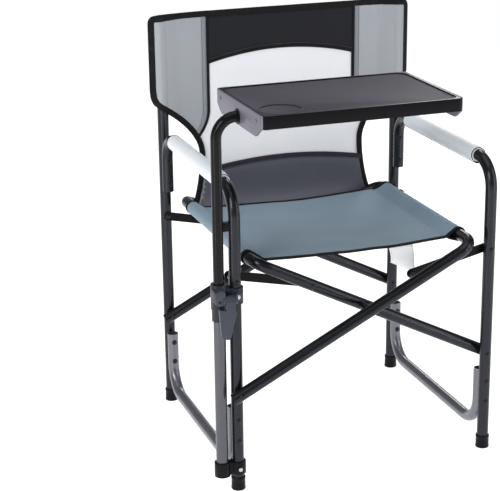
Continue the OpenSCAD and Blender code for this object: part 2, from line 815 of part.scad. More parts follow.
placed() cross_bush_pair();  // cross_bushes
placed() right_front_link_bar();  // right_front_link
placed() half_turn() left_front_link_bar();  // right_back_link
placed() left_front_link_bar();  // left_front_link
placed() half_turn() right_front_link_bar();  // left_back_link
placed() half_turn() link_rivets();  // link_rivets_a
placed() link_rivets();  // link_rivets_b
placed() pole_sleeve_tube();  // pole_sleeve
placed() pole_clamp_body();  // pole_clamp
placed() pole_socket_body();  // pole_socket
placed() pole_saddle_pad();  // pole_saddle
placed() clamp_screw_set();  // clamp_screws
placed() lever_pin_rod();  // lever_pin
placed() lever_body();  // clamp_lever
placed() pole_plug_body();  // pole_plug
placed() table_pole_tube();  // table_pole
placed() tray_body();  // table_tray
placed() end_plate(table_x);  // table_near_plate
placed() end_plate(table_x + table_length - plate_t);  // table_far_plate
placed() grommet_pair();  // table_grommets
placed() table_screw_set();  // table_screws
placed() button_housing_plug();  // button_housing
placed() button_spring_coil();  // button_spring
placed() button_cap();  // table_button
placed() seat_cloth();  // seat_sling
placed() seat_binding_strip();  // seat_binding
placed() seat_label_tag();  // seat_label
placed() top_panel();  // back_top_panel
placed() mesh_panel();  // back_mesh_panel
placed() lumbar();  // lumbar_pad
placed() wing();  // right_wing
placed() mirrored() wing();  // left_wing
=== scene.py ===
"""Looks of a folding director chair with a swing-out side table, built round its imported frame.

Drawn in millimetres from the chair's own lines: x from its middle, y back from the front legs,
z up from the floor. put() turns such a place into the frame's metres."""

from math import acos, atan2, cos, hypot, pi, radians, sin, sqrt

import bmesh
import bpy
from mathutils import Matrix, Vector, noise


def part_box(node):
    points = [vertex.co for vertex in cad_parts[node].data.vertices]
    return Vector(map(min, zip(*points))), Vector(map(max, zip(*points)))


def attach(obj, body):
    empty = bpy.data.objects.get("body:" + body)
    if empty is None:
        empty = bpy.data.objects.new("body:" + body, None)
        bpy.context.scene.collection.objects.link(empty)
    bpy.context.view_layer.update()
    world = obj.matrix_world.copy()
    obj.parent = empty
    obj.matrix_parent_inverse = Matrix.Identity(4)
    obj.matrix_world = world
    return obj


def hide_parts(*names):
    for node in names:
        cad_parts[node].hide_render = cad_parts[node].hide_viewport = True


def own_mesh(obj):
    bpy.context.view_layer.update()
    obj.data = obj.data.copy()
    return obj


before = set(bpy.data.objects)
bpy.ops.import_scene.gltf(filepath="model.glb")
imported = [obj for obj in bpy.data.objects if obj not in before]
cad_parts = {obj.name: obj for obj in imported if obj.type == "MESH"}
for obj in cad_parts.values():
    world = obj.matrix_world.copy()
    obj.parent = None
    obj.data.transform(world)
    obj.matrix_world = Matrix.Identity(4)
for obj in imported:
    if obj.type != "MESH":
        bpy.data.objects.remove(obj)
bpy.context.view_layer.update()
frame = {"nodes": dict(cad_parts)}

bl_info = {
    "name": "Director chair",
    "version": (1, 0, 0),
    "blender": (4, 5, 0),
    "location": "View3D > Sidebar > Chair",
    "description": "Builds the cloth, fittings and finishes of a folding director chair",
    "category": "Object",
}


# ---- Places, from the frame's nodes ----


def middle_of(node):
    low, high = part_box(node)
    return (low + high) / 2


def span_of(node, axis):
    low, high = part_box(node)
    return (high[axis] - low[axis]) * 1000


MIDDLE_X = (middle_of("right_back_post").x + middle_of("left_back_post").x) / 2
LEG_Y = middle_of("pole_sleeve").y
LEG_X = (middle_of("left_back_post").x - MIDDLE_X) * 1000
POST_Y = (middle_of("left_back_post").y - LEG_Y) * 1000
TUBE_R = span_of("left_back_post", 0) / 2
RAIL_X = 235.46
RAIL_Z = 485.88
SEAM_IN = 28.5
WAIST_X = 199.0
WAIST_Z = 595.0
SEAM_X = 176.0
BACK_TOP = 921.0
BACK_LOW = 452.0
SIDES = (("right", "root"), ("left", "left_frame"))
WING_X = LEG_X + 27
TIP_Z = 630.0


def put(x, y, z):
    return Vector((MIDDLE_X + x / 1000, LEG_Y + y / 1000, z / 1000))


def soft_step(low, high, value):
    t = min(1.0, max(0.0, (value - low) / (high - low)))
    return t * t * (3 - 2 * t)


def ripple(x, y, z, size, height):
    """A smooth hill-and-valley value at a place, with hills about size millimetres apart."""
    return height * noise.noise(Vector((x / size, y / size, z / size)))


# ---- Outlines of the cloth ----


def edge_x(z):
    """Half width of the back cloth under the armrests' height."""
    if z > WAIST_Z:
        return WAIST_X + 104 * ((z - WAIST_Z) / 122) ** 2
    return WAIST_X + 20 * ((WAIST_Z - z) / 122) ** 2


def seam_x(z):
    """Where a wing is sewn to the middle panels."""
    return SEAM_X + (30 * ((700 - z) / 69) ** 2 if z < 700 else 0)


def middle_x(z):
    return min(edge_x(z), seam_x(z))


def top_arc(x):
    return 829 - 24 * (x / SEAM_X) ** 2


def lumbar_arc(x):
    return 575 - 20 * (x / WAIST_X) ** 2


def top_edge(x):
    return BACK_TOP - 4.5 * (abs(x) / WING_X) ** 5


def seat_level(x):
    """Height of the seat cloth between the two seams of its sleeves."""
    return RAIL_Z - 9.4 + 6 * (x / (RAIL_X - SEAM_IN)) ** 2


# ---- Shape helpers ----


def formed(bm, columns, rows, place, across=1.0, along=1.0):
    """A grid whose points go to place(u, v), both from 0 to 1, with a thread map of across by along metres."""
    points = bmesh.ops.create_grid(bm, x_segments=columns, y_segments=rows, size=1)["verts"]
    threads = bm.loops.layers.uv.get("threads") or bm.loops.layers.uv.new("threads")
    share = {p: ((p.co.x + 1) / 2, (p.co.y + 1) / 2) for p in points}
    for face in {f for p in points for f in p.link_faces}:
        for loop in face.loops:
            u, v = share[loop.vert]
            loop[threads].uv = (u * across, v * along)
    for p in points:
        p.co = place(*share[p])
    return points


def lengths(points):
    total = [0.0]
    for a, b in zip(points, points[1:]):
        total.append(total[-1] + (b - a).length)
    return total


def evenly(points, count):
    """The same line in count points, evenly spaced."""
    total = lengths(points)
    made, i = [], 0
    for k in range(count):
        want = total[-1] * k / (count - 1)
        while i < len(points) - 2 and total[i + 1] < want:
            i += 1
        step = total[i + 1] - total[i]
        made.append(points[i].lerp(points[i + 1], (want - total[i]) / step if step else 0))
    return made


def frames_along(edge, inner):
    """For each point of an edge: the point, the way into the cloth, and the cloth's upright."""
    made = []
    for i, point in enumerate(edge):
        run = (edge[min(i + 1, len(edge) - 1)] - edge[max(i - 1, 0)]).normalized()
        into = inner[i] - point
        into = (into - run * into.dot(run)).normalized()
        made.append((point, into, run.cross(into)))
    return made


def swept(bm, stations, section, closed=True):
    """Carries a flat section of (into, upright) pairs in millimetres along stations, and closes its ends."""
    ring = section + section[:1] if closed else section
    total = lengths([s[0] for s in stations])[-1]
    girth = sum(hypot(a[0] - b[0], a[1] - b[1]) for a, b in zip(ring, ring[1:])) / 1000

    def place(u, v):
        into, up = ring[round(u * (len(ring) - 1))]
        point, side, upright = stations[round(v * (len(stations) - 1))]
        return point + side * (into / 1000) + upright * (up / 1000)

    made = formed(bm, len(ring) - 1, len(stations) - 1, place, girth, total)
    if closed:
        bmesh.ops.remove_doubles(bm, verts=made, dist=1e-6)
        rims = [e for e in bm.edges if e.is_boundary and e.is_valid]
        bmesh.ops.holes_fill(bm, edges=rims, sides=len(section) + 1)
    return made


def tape(bm, edge, inner, width, half, lip=1.4):
    """Binding tape folded over a cloth's edge: width onto the cloth, half its thickness, lip past the edge."""
    section = [
        (width, half * 0.75),
        (width - 0.8, half),
        (width * 0.5, half * 1.12),
        (0, half * 1.05),
        (-lip * 0.8, half * 0.7),
        (-lip, 0),
        (-lip * 0.8, -half * 0.7),
        (0, -half * 1.05),
        (width * 0.5, -half * 1.12),
        (width - 0.8, -half),
        (width, -half * 0.75),
    ]
    swept(bm, frames_along(edge, inner), section)


def stitches(bm, line, inner, lift, pitch=4.4, long=3.0, wide=0.75):
    """A row of stitches that lies lift millimetres above a line."""
    count = max(2, int(lengths(line)[-1] * 1000 / pitch))
    edge, inside = evenly(line, count + 1), evenly(inner, count + 1)
    for i, (point, into, up) in enumerate(frames_along(edge, inside)):
        if i in (0, count):
            continue
        run = into.cross(up)
        at = point + up * (lift / 1000)
        turn = Matrix((run, into, up)).transposed().to_4x4()
        size = Matrix.Diagonal((long / 2000, wide / 2000, 0.00035, 1))
        bmesh.ops.create_icosphere(bm, subdivisions=1, radius=1, matrix=Matrix.Translation(at) @ turn @ size)


def turned(bm, outline, origin, axis, steps=48):
    """Spins an outline of (radius, height) pairs in millimetres about an axis through origin, and closes it."""
    axis = Vector(axis).normalized()
    side = axis.orthogonal().normalized()
    points = [bm.verts.new(origin + side * (r / 1000) + axis * (h / 1000)) for r, h in outline]
    edges = [bm.edges.new(pair) for pair in zip(points, points[1:])]
    made = bmesh.ops.spin(
        bm, geom=points + edges, cent=origin, axis=axis, angle=2 * pi, steps=steps, use_merge=True
    )
    every = {v for e in edges if e.is_valid for v in e.verts}
    for item in made["geom_last"]:
        if item.is_valid and isinstance(item, bmesh.types.BMVert):
            every.add(item)
    bmesh.ops.remove_doubles(bm, verts=bm.verts, dist=2e-6)


def piece(name, bm, finish, body, replaces=(), angle=40, recalculate=True):
    """Turns a bmesh into a shown piece that rides on a body."""
    if not bm.faces:
        raise RuntimeError(f"{name} came out empty")
    if recalculate:
        bmesh.ops.recalc_face_normals(bm, faces=bm.faces)
    mesh = bpy.data.meshes.new(name)
    bm.to_mesh(mesh)
    bm.free()
    mesh.shade_smooth()
    mesh.set_sharp_from_angle(angle=radians(angle))
    mesh.materials.append(finishes(finish))
    made = bpy.data.objects.new(name, mesh)
    bpy.context.scene.collection.objects.link(made)
    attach(made, body)
    if replaces:
        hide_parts(*replaces)
    return made


def thick(made, millimetres, offset=0.0):
    solid = made.modifiers.new("cloth", "SOLIDIFY")
    solid.thickness = millimetres / 1000
    solid.offset = offset
    return made


def merged_copy(node):
    """A copy of a CAD node's mesh with its points joined and its flat faces whole."""
    bm = bmesh.new()
    bm.from_mesh(frame["nodes"][node].data)
    for layer in list(bm.loops.layers.uv.values()):
        bm.loops.layers.uv.remove(layer)
    bmesh.ops.remove_doubles(bm, verts=bm.verts, dist=2e-6)
    bmesh.ops.dissolve_limit(bm, angle_limit=radians(0.5), verts=bm.verts, edges=bm.edges)
    return bm


def softened(name, node, width, finish, body, sharp=50, segments=2):
    """The node's own shape with its corners rounded off by width millimetres."""
    bm = merged_copy(node)
    corners = [e for e in bm.edges if e.is_manifold and e.calc_face_angle(0) > radians(sharp)]
    bmesh.ops.bevel(
        bm,
        geom=corners,
        offset=width / 1000,
        offset_type="OFFSET",
        segments=segments,
        profile=0.5,
        affect="EDGES",
        clamp_overlap=True,
        material=-1,
    )
    bmesh.ops.remove_doubles(bm, verts=bm.verts, dist=2e-6)
    return piece(name, bm, finish, body, (node,), angle=35, recalculate=False)


# ---- Finishes ----


class Amount:
    """A socket of a finish's nodes. Sums on it add Math nodes."""

    def __init__(self, finish, socket):
        self.finish = finish
        self.socket = socket

    def __add__(self, other):
        return self.finish.sum("ADD", self, other)

    def __radd__(self, other):
        return self.finish.sum("ADD", other, self)

    def __sub__(self, other):
        return self.finish.sum("SUBTRACT", self, other)

    def __rsub__(self, other):
        return self.finish.sum("SUBTRACT", other, self)

    def __mul__(self, other):
        return self.finish.sum("MULTIPLY", self, other)

    def __rmul__(self, other):
        return self.finish.sum("MULTIPLY", other, self)

    def __truediv__(self, other):
        return self.finish.sum("DIVIDE", self, other)

    def __pow__(self, other):
        return self.finish.sum("POWER", self, other)


class Finish:
    """A material on the Principled shader, and the nodes that feed it."""

    def __init__(self, name):
        self.material = bpy.data.materials.new(name)
        self.material.use_nodes = True
        self.tree = self.material.node_tree
        self.tree.nodes.clear()
        self.shader = self.tree.nodes.new("ShaderNodeBsdfPrincipled")
        end = self.tree.nodes.new("ShaderNodeOutputMaterial")
        self.tree.links.new(self.shader.outputs["BSDF"], end.inputs["Surface"])

    def node(self, kind, settings=None, output=0, **values):
        """Adds a node with its settings and its sockets' values, by name or _number, and gives one output."""
        made = self.tree.nodes.new(kind)
        for key, value in (settings or {}).items():
            if key == "stops":
                for stop, (position, shade) in zip(made.color_ramp.elements, value):
                    stop.position, stop.color = position, (shade, shade, shade, 1)
            else:
                setattr(made, key, value)
        for key, value in values.items():
            spot = made.inputs[int(key[1:])] if key[0] == "_" else made.inputs[key]
            self.feed(spot, value)
        return Amount(self, made.outputs[output])

    def feed(self, spot, value):
        if isinstance(value, Amount):
            self.tree.links.new(value.socket, spot)
        else:
            spot.default_value = value

    def sum(self, operation, *values, clamp=False):
        settings = {"operation": operation, "use_clamp": clamp}
        return self.node("ShaderNodeMath", settings, **{f"_{i}": v for i, v in enumerate(values)})

    def wave(self, value):
        return self.sum("SINE", value)

    def bare(self, value):
        return self.sum("ABSOLUTE", value)

    def limit(self, value, low, high):
        """0 below low, 1 above high, smooth between."""
        settings = {"interpolation_type": "SMOOTHSTEP"}
        return self.node("ShaderNodeMapRange", settings, Value=value, **{"From Min": low, "From Max": high})

    def blend(self, share, low, high):
        """Colour low where share is 0, and high where it is 1."""
        low, high = ((*c, 1) if isinstance(c, tuple) and len(c) == 3 else c for c in (low, high))
        return self.node("ShaderNodeMix", {"data_type": "RGBA"}, 2, _0=share, _6=low, _7=high)

    def place(self, stretch=(1, 1, 1)):
        spot = self.node("ShaderNodeTexCoord", None, "Object")
        if stretch == (1, 1, 1):
            return spot
        return self.node("ShaderNodeMapping", None, Vector=spot, Scale=stretch)

    def threads(self, stretch=(1, 1, 1)):
        spot = self.node("ShaderNodeUVMap", {"uv_map": "threads"})
        return self.node("ShaderNodeMapping", None, Vector=spot, Scale=stretch)

    def cloud(self, spot, scale, detail=2.0, rough=0.5):
        return self.node("ShaderNodeTexNoise", None, Vector=spot, Scale=scale, Detail=detail, Roughness=rough)

    def parts(self, spot):
        first = self.node("ShaderNodeSeparateXYZ", None, 0, Vector=spot)
        outputs = first.socket.node.outputs
        return [Amount(self, outputs[i]) for i in range(3)]

    def bump(self, height, strength, depth):
        return self.node("ShaderNodeBump", None, Height=height, Strength=strength, Distance=depth)

    def wear(self, **values):
        """Feeds the shader's sockets; _ in a name stands for a space."""
        for key, value in values.items():
            self.feed(self.shader.inputs[key.replace("_", " ")], value)
        return self.material


def shade(colour, by):
    return tuple(min(1.0, c * by) for c in colour[:3])


def powder_coat(name, colour, metal=0.35, rough=0.3, coat=0.4, speck=0.5, shine=0.4):
    """Sprayed and baked paint: orange peel, faint clouding and small rubs."""
    f = Finish(name)
    spot = f.place()
    cloud = f.cloud(spot, 26, 3)
    peel = f.cloud(spot, 1500, 1)
    flake = f.cloud(spot, 5200, 0)
    rub = f.limit(f.cloud(f.place((1, 1, 0.25)), 190, 4, 0.65), 0.68, 0.78)
    base = f.blend(cloud, shade(colour, 0.86), shade(colour, 1.14))
    base = f.blend(flake * speck * 0.3, base, (*shade(colour, 2.1), 1))
    base = f.blend(rub * 0.22, base, (*shade(colour, 1.9), 1))
    roughness = rough + (cloud - 0.5) * 0.12 + rub * 0.14 + (peel - 0.5) * 0.05
    f.wear(Metallic=metal, Coat_Weight=coat, Coat_Roughness=0.12, Specular_IOR_Level=shine)
    return f.wear(Base_Color=base, Roughness=roughness, Normal=f.bump(peel, 0.16, 0.00012))


def moulded(name, colour, rough=0.5, grain=900.0, relief=0.3, coat=0.0, shine=0.5):
    """Injection-moulded plastic: spark-eroded grain, faint flow marks and handling marks."""
    f = Finish(name)
    spot = f.place()
    flow = f.cloud(spot, 14, 3)
    pits = f.node("ShaderNodeTexVoronoi", {"feature": "F1"}, "Distance", Vector=spot, Scale=grain)
    fine = f.cloud(spot, grain * 1.7, 2)
    marks = f.limit(f.cloud(f.place((0.35, 1, 1)), 120, 5, 0.7), 0.66, 0.8)
    base = f.blend(flow, shade(colour, 0.88), shade(colour, 1.12))
    base = f.blend(marks * 0.2, base, (*shade(colour, 1.8), 1))
    height = pits * 0.6 + fine * 0.4
    roughness = rough + (flow - 0.5) * 0.1 + marks * 0.1 - (fine - 0.5) * 0.08
    f.wear(Coat_Weight=coat, Coat_Roughness=0.15, Specular_IOR_Level=shine)
    return f.wear(Base_Color=base, Roughness=roughness, Normal=f.bump(height, relief, 0.00015))


def woven(name, colour, pitch=0.9, rough=0.82, sheen=0.2, heather=0.12, relief=0.5, mapped=True, shine=0.3):
    """Plain-weave polyester: over-and-under threads, slubs, soft creases and a little dust."""
    f = Finish(name)
    spot = f.threads() if mapped else f.place()
    x, y, z = f.parts(spot)
    if not mapped:
        y = y + z
    turn = pi * 1000 / pitch
    over = f.wave(x * turn) * f.wave(y * turn)
    ridges = f.bare(f.wave(x * turn)) * 0.25 + f.bare(f.wave(y * turn)) * 0.25
    height = over * 0.25 + 0.25 + ridges
    warp = f.cloud(f.threads((1400, 45, 1)) if mapped else f.place((1400, 45, 45)), 1, 3, 0.6)
    weft = f.cloud(f.threads((45, 1400, 1)) if mapped else f.place((45, 1400, 1400)), 1, 3, 0.6)
    soft = f.cloud(f.place(), 17, 3)
    slub = (warp + weft - 1) * heather * 2 + (soft - 0.5) * 0.1
    base = f.blend(f.sum("ADD", height * 0.9, slub, clamp=True), shade(colour, 0.72), shade(colour, 1.22))
    base = f.blend(f.limit(soft, 0.55, 0.8) * 0.03, base, (*shade(colour, 1.6), 1))
    f.wear(Sheen_Weight=sheen, Sheen_Roughness=0.45, Specular_IOR_Level=shine)
    return f.wear(
        Base_Color=base,
        Roughness=rough + (warp - 0.5) * 0.16,
        Normal=f.bump(height + slub * 0.8, relief, 0.00022),
    )


def net(name, colour, pitch=2.4, hole=0.42, cover=0.55):
    """Spacer mesh: rows of small round holes in a knitted face, with threads behind them."""
    f = Finish(name)
    x, y, _ = f.parts(f.threads())
    turn = pi * 1000 / pitch
    holes = f.bare(f.wave((x + y * 0.5) * turn)) * f.bare(f.wave((y - x * 0.5) * turn))
    open_ = f.limit(holes, 1 - hole - 0.12, 1 - hole + 0.12)
    knit = f.cloud(f.threads((900, 2600, 1)), 1, 2)
    soft = f.cloud(f.place(), 12, 2)
    base = f.blend(knit, shade(colour, 0.86), shade(colour, 1.08))
    base = f.blend(open_ * 0.45, base, (*shade(colour, 0.62), 1))
    base = f.blend((soft - 0.3) * 0.2, base, (*shade(colour, 1.12), 1))
    f.wear(Sheen_Weight=0.25, Sheen_Roughness=0.5)
    return f.wear(
        Base_Color=base,
        Roughness=0.8 + (knit - 0.5) * 0.1,
        Alpha=1 - open_ * (1 - cover),
        Normal=f.bump(1 - open_ + knit * 0.4, 0.5, 0.0003),
    )


def coated_cloth(name, colour):
    """Coated cloth over foam: leather-like pebble, stretch lines round the tube and hand grime."""
    f = Finish(name)
    spot = f.place()
    pebble = f.node("ShaderNodeTexVoronoi", {"feature": "DISTANCE_TO_EDGE"}, "Distance", Vector=spot, Scale=620)
    fine = f.cloud(spot, 1800, 2)
    pull = f.cloud(f.place((60, 260, 60)), 1, 3)
    grime = f.limit(f.cloud(spot, 34, 4, 0.6), 0.5, 0.8)
    base = f.blend(f.limit(pebble, 0, 0.12), shade(colour, 0.9), colour)
    base = f.blend(grime * 0.16, base, (*shade(colour, 0.82), 1))
    height = f.limit(pebble, 0, 0.2) * 0.5 + fine * 0.2 + pull * 0.8
    f.wear(Coat_Weight=0.12, Coat_Roughness=0.35, Sheen_Weight=0.1)
    return f.wear(
        Base_Color=base, Roughness=0.46 + (fine - 0.5) * 0.12 + grime * 0.08, Normal=f.bump(height, 0.4, 0.0003)
    )


def ribbed_tape(name, colour, rough=0.7):
    """Narrow woven tape: ribs across its length and a fuzz of cut ends."""
    f = Finish(name)
    _, y, _ = f.parts(f.threads())
    ribs = f.bare(f.wave(y * (pi * 1000 / 0.8)))
    fuzz = f.cloud(f.place(), 1600, 3)
    dust = f.cloud(f.place(), 48, 3)
    base = f.blend(ribs * 0.5 + fuzz * 0.5, shade(colour, 0.6), shade(colour, 1.5))
    base = f.blend(f.limit(dust, 0.5, 0.85) * 0.05, base, (0.25, 0.25, 0.26, 1))
    f.wear(Sheen_Weight=0.04, Sheen_Roughness=0.4, Specular_IOR_Level=0.15)
    return f.wear(Base_Color=base, Roughness=rough + (fuzz - 0.5) * 0.2, Normal=f.bump(ribs + fuzz * 0.5, 0.5, 0.0002))


def sewing_thread(name, colour):
    f = Finish(name)
    twist = f.cloud(f.place((1, 1, 1)), 4200, 1)
    base = f.blend(twist, shade(colour, 0.7), shade(colour, 1.3))
    return f.wear(Base_Color=base, Roughness=0.6 + (twist - 0.5) * 0.2, Normal=f.bump(twist, 0.4, 0.0001))


def bright_steel(name, colour, rough=0.32):
    """Zinc-plated steel: crystal clouding and fine scratches."""
    f = Finish(name)
    spangle = f.node("ShaderNodeTexVoronoi", {"feature": "F1"}, "Distance", Vector=f.place(), Scale=700)
    scratch = f.cloud(f.place((2400, 300, 300)), 1, 3)
    base = f.blend(spangle, shade(colour, 0.8), shade(colour, 1.15))
    f.wear(Metallic=1.0)
    return f.wear(Base_Color=base, Roughness=rough + (scratch - 0.5) * 0.2, Normal=f.bump(scratch, 0.2, 0.00005))


def satin_label(name, colour):
    f = Finish(name)
    _, y, _ = f.parts(f.threads())
    weft = f.bare(f.wave(y * (pi * 1000 / 0.5)))
    soft = f.cloud(f.place(), 60, 3)
    base = f.blend(weft * 0.4 + soft * 0.6, shade(colour, 0.92), shade(colour, 1.04))
    f.wear(Sheen_Weight=0.2)
    return f.wear(Base_Color=base, Roughness=0.5 + (soft - 0.5) * 0.2, Normal=f.bump(weft + soft, 0.25, 0.0001))


def plain_floor(name):
    f = Finish(name)
    grain = f.cloud(f.place(), 3, 2)
    f.wear(Emission_Strength=0.72, Specular_IOR_Level=0.05)
    return f.wear(
        Base_Color=f.blend(grain, (0.86, 0.86, 0.865), (0.88, 0.88, 0.885)),
        Emission_Color=(1, 1, 1, 1),
        Roughness=0.9,
    )


made_finishes = {}


def finishes(name):
    """The material of that name, made once from the colours in the scene's settings."""
    if name not in made_finishes:
        c = bpy.context.scene.chair_colours
        recipe = {
            "frame tube paint": lambda n: powder_coat(n, c.frame, metal=0.8, rough=0.25, coat=0.03, shine=0.2),
            "stretcher paint": lambda n: powder_coat(n, c.stretcher, metal=0.75, rough=0.3, coat=0.15),
            "scissor tube paint": lambda n: powder_coat(n, c.scissor, metal=0.8, rough=0.25, coat=0.03, shine=0.2),
            "sleeve paint": lambda n: powder_coat(n, c.sleeve, metal=0.75, rough=0.28, coat=0.15),
            "pole gloss black": lambda n: powder_coat(
                n, c.pole, metal=0.1, rough=0.14, coat=0.04, speck=0.05, shine=0.14
            ),
            "link black": lambda n: powder_coat(n, c.pole, metal=0.1, rough=0.3, coat=0.0, speck=0.05, shine=0.1),
            "rivet black": lambda n: powder_coat(n, c.rivet, metal=0.3, rough=0.3, coat=0.1, speck=0.1, shine=0.3),
            "zinc steel": lambda n: bright_steel(n, c.steel),
            "black moulding": lambda n: moulded(n, c.black_plastic, rough=0.36, shine=0.1),
            "clamp moulding": lambda n: moulded(n, c.clamp, rough=0.32, shine=0.2),
            "lever moulding": lambda n: moulded(n, c.lever, rough=0.34, shine=0.3),
            "table moulding": lambda n: moulded(n, c.table, rough=0.5, grain=1300, relief=0.22, shine=0.08),
            # A near-black copy of the table moulding: painted shade for the tray's sides, underside and rim.
            "table rim moulding": lambda n: moulded(
                n, shade(c.table, 0.1), rough=0.3, grain=1500, relief=0.1, shine=0.1
            ),
            "end plate moulding": lambda n: moulded(n, c.plate, rough=0.4, grain=1500, relief=0.15),
            "button moulding": lambda n: moulded(n, c.button, rough=0.25, grain=1500, relief=0.08, coat=0.4),
            "pad cover": lambda n: coated_cloth(n, tuple(c.pad)),
            "seat cloth": lambda n: woven(n, c.seat, pitch=1.0, heather=0.2),
            "wing cloth": lambda n: woven(n, c.wing, pitch=0.8, heather=0.08, sheen=0.1, rough=0.42, shine=0.8),
            "lumbar cloth": lambda n: woven(n, c.lumbar, pitch=0.9, heather=0.14, sheen=0.15, mapped=False),
            "top panel cloth": lambda n: woven(n, c.black_cloth, pitch=0.8, heather=0.15, sheen=0.04),
            "back mesh": lambda n: net(n, c.mesh),
            "binding tape": lambda n: ribbed_tape(n, c.binding),
            "wing tape": lambda n: ribbed_tape(n, shade(c.wing, 0.72)),
            "dark grey tape": lambda n: ribbed_tape(n, (0.022, 0.022, 0.028)),
            # Grey where the gathered cloth is black: painted highlight on its puckers.
            "gathered tape": lambda n: ribbed_tape(n, shade(c.wing, 0.62)),
            "black thread": lambda n: sewing_thread(n, (0.02, 0.02, 0.022)),
            "dark grey thread": lambda n: sewing_thread(n, (0.05, 0.052, 0.06)),
            "grey thread": lambda n: sewing_thread(n, (0.16, 0.17, 0.19)),
            "seat thread": lambda n: sewing_thread(n, shade(c.seat, 0.55)),
            "label satin": lambda n: satin_label(n, c.label),
            "floor": plain_floor,
        }[name]
        made_finishes[name] = recipe(name)
    return made_finishes[name]


# ---- Settings ----


def colour_setting(name, description, default):
    return bpy.props.FloatVectorProperty(
        name=name, description=description, default=default, subtype="COLOR", size=3, min=0, max=1
    )


class ChairColours(bpy.types.PropertyGroup):
    """Base colours of the finishes"""

    frame: colour_setting("Frame tubes", "Powder coat of the legs, posts and armrests", (0.028, 0.029, 0.034))
    stretcher: colour_setting("Stretchers", "Powder coat of the low side tubes", (0.16, 0.16, 0.18))
    scissor: colour_setting("Seat frames", "Powder coat of the crossed tubes", (0.026, 0.027, 0.031))
    sleeve: colour_setting("Pole sleeve", "Powder coat of the table pole's holder", (0.085, 0.085, 0.098))
    pole: colour_setting("Table pole", "Gloss paint of the pole and links", (0.006, 0.006, 0.007))
    rivet: colour_setting("Rivets", "Paint of the rivet heads", (0.009, 0.009, 0.01))
    steel: colour_setting("Screws", "Plating of the screws and the spring", (0.5, 0.5, 0.52))
    black_plastic: colour_setting("Black plastic", "Feet, caps, holders and bushes", (0.007, 0.007, 0.008))
    clamp: colour_setting("Clamp", "Body of the pole's clamp", (0.02, 0.023, 0.03))
    lever: colour_setting("Lever", "Clamp lever", (0.042, 0.047, 0.064))
    table: colour_setting("Table top", "Tray of the side table", (0.052, 0.048, 0.064))
    plate: colour_setting("End plates", "Upright plates at the table's ends", (0.135, 0.13, 0.165))
    button: colour_setting("Button", "Release button in the table arm", (0.78, 0.17, 0.05))
    pad: colour_setting("Armrest pads", "Coated cloth round the armrests", (0.82, 0.87, 0.9))
    seat: colour_setting("Seat cloth", "Woven cloth of the seat", (0.215, 0.305, 0.378))
    wing: colour_setting("Wing cloth", "Cloth over the back posts", (0.29, 0.31, 0.335))
    lumbar: colour_setting("Lumbar pad", "Cloth of the low back pad", (0.08, 0.082, 0.105))
    black_cloth: colour_setting("Top panel", "Cloth of the high back panel", (0.008, 0.0085, 0.012))
    mesh: colour_setting("Back mesh", "Open mesh of the back's middle", (0.86, 0.87, 0.9))
    binding: colour_setting("Binding", "Tape round the cloths' edges", (0.005, 0.005, 0.006))
    label: colour_setting("Label", "Blank tag under the seat", (0.86, 0.87, 0.88))


class ChairSizes(bpy.types.PropertyGroup):
    """Sizes of the sewn details"""

    seat_cloth: bpy.props.FloatProperty(
        name="Seat cloth", description="Thickness of the seat cloth, in mm", default=1.3, min=0.5, max=2
    )
    back_cloth: bpy.props.FloatProperty(
        name="Back cloth", description="Thickness of one ply of the back cloth, in mm", default=0.9, min=0.4, max=2
    )
    binding_width: bpy.props.FloatProperty(
        name="Binding", description="Width of the tape round the back cloth, in mm", default=11.0, min=6, max=15
    )
    stitch_pitch: bpy.props.FloatProperty(
        name="Stitches", description="Distance from stitch to stitch, in mm", default=4.4, min=3, max=8
    )
    pad_puff: bpy.props.FloatProperty(
        name="Puff", description="How far the low back pad may swell, in mm", default=6.0, min=0, max=8
    )


# ---- Metal parts ----


def repaint(node, finish):
    slots = frame["nodes"][node].data.materials
    if len(slots) == 0:
        slots.append(finishes(finish))
    for i in range(len(slots)):
        slots[i] = finishes(finish)


PAINTS = {
    "frame tube paint": ("right_arm_tube", "left_arm_tube", "right_back_post", "left_back_post"),
    "stretcher paint": ("right_stretcher", "left_stretcher"),
    "link black": ("right_front_link", "right_back_link", "left_front_link", "left_back_link"),
    "scissor tube paint": ("seat_frame_a", "seat_frame_b"),
    "sleeve paint": ("pole_sleeve",),
    "pole gloss black": ("table_pole",),
    "black moulding": ("cross_bushes", "pole_plug", "button_housing"),
}


class CHAIR_OT_tubes(bpy.types.Operator):
    """Paints the tubes and link bars"""

    bl_idname = "chair.tubes"
    bl_label = "Tubes"

    def execute(self, context):
        for finish, nodes in PAINTS.items():
            for node in nodes:
                repaint(node, finish)
        return {"FINISHED"}


RIVETS = {
    "right_frame_rivets": "root",
    "left_frame_rivets": "left_frame",
    "right_pivot_rivets": "root",
    "left_pivot_rivets": "left_frame",
    "cross_rivets": "frame_b",
    "link_rivets_a": "frame_a",
    "link_rivets_b": "frame_b",
}


def islands(bm):
    """The separate bodies of a mesh, as lists of points."""
    left, found = set(bm.verts), []
    while left:
        group, edge = set(), [left.pop()]
        while edge:
            point = edge.pop()
            group.add(point)
            for e in point.link_edges:
                other = e.other_vert(point)
                if other in left:
                    left.discard(other)
                    edge.append(other)
        found.append(list(group))
    return found


HEAD_FROM = 4.5  # a rivet's end wider than this has a head
HEAD_H = 2.4


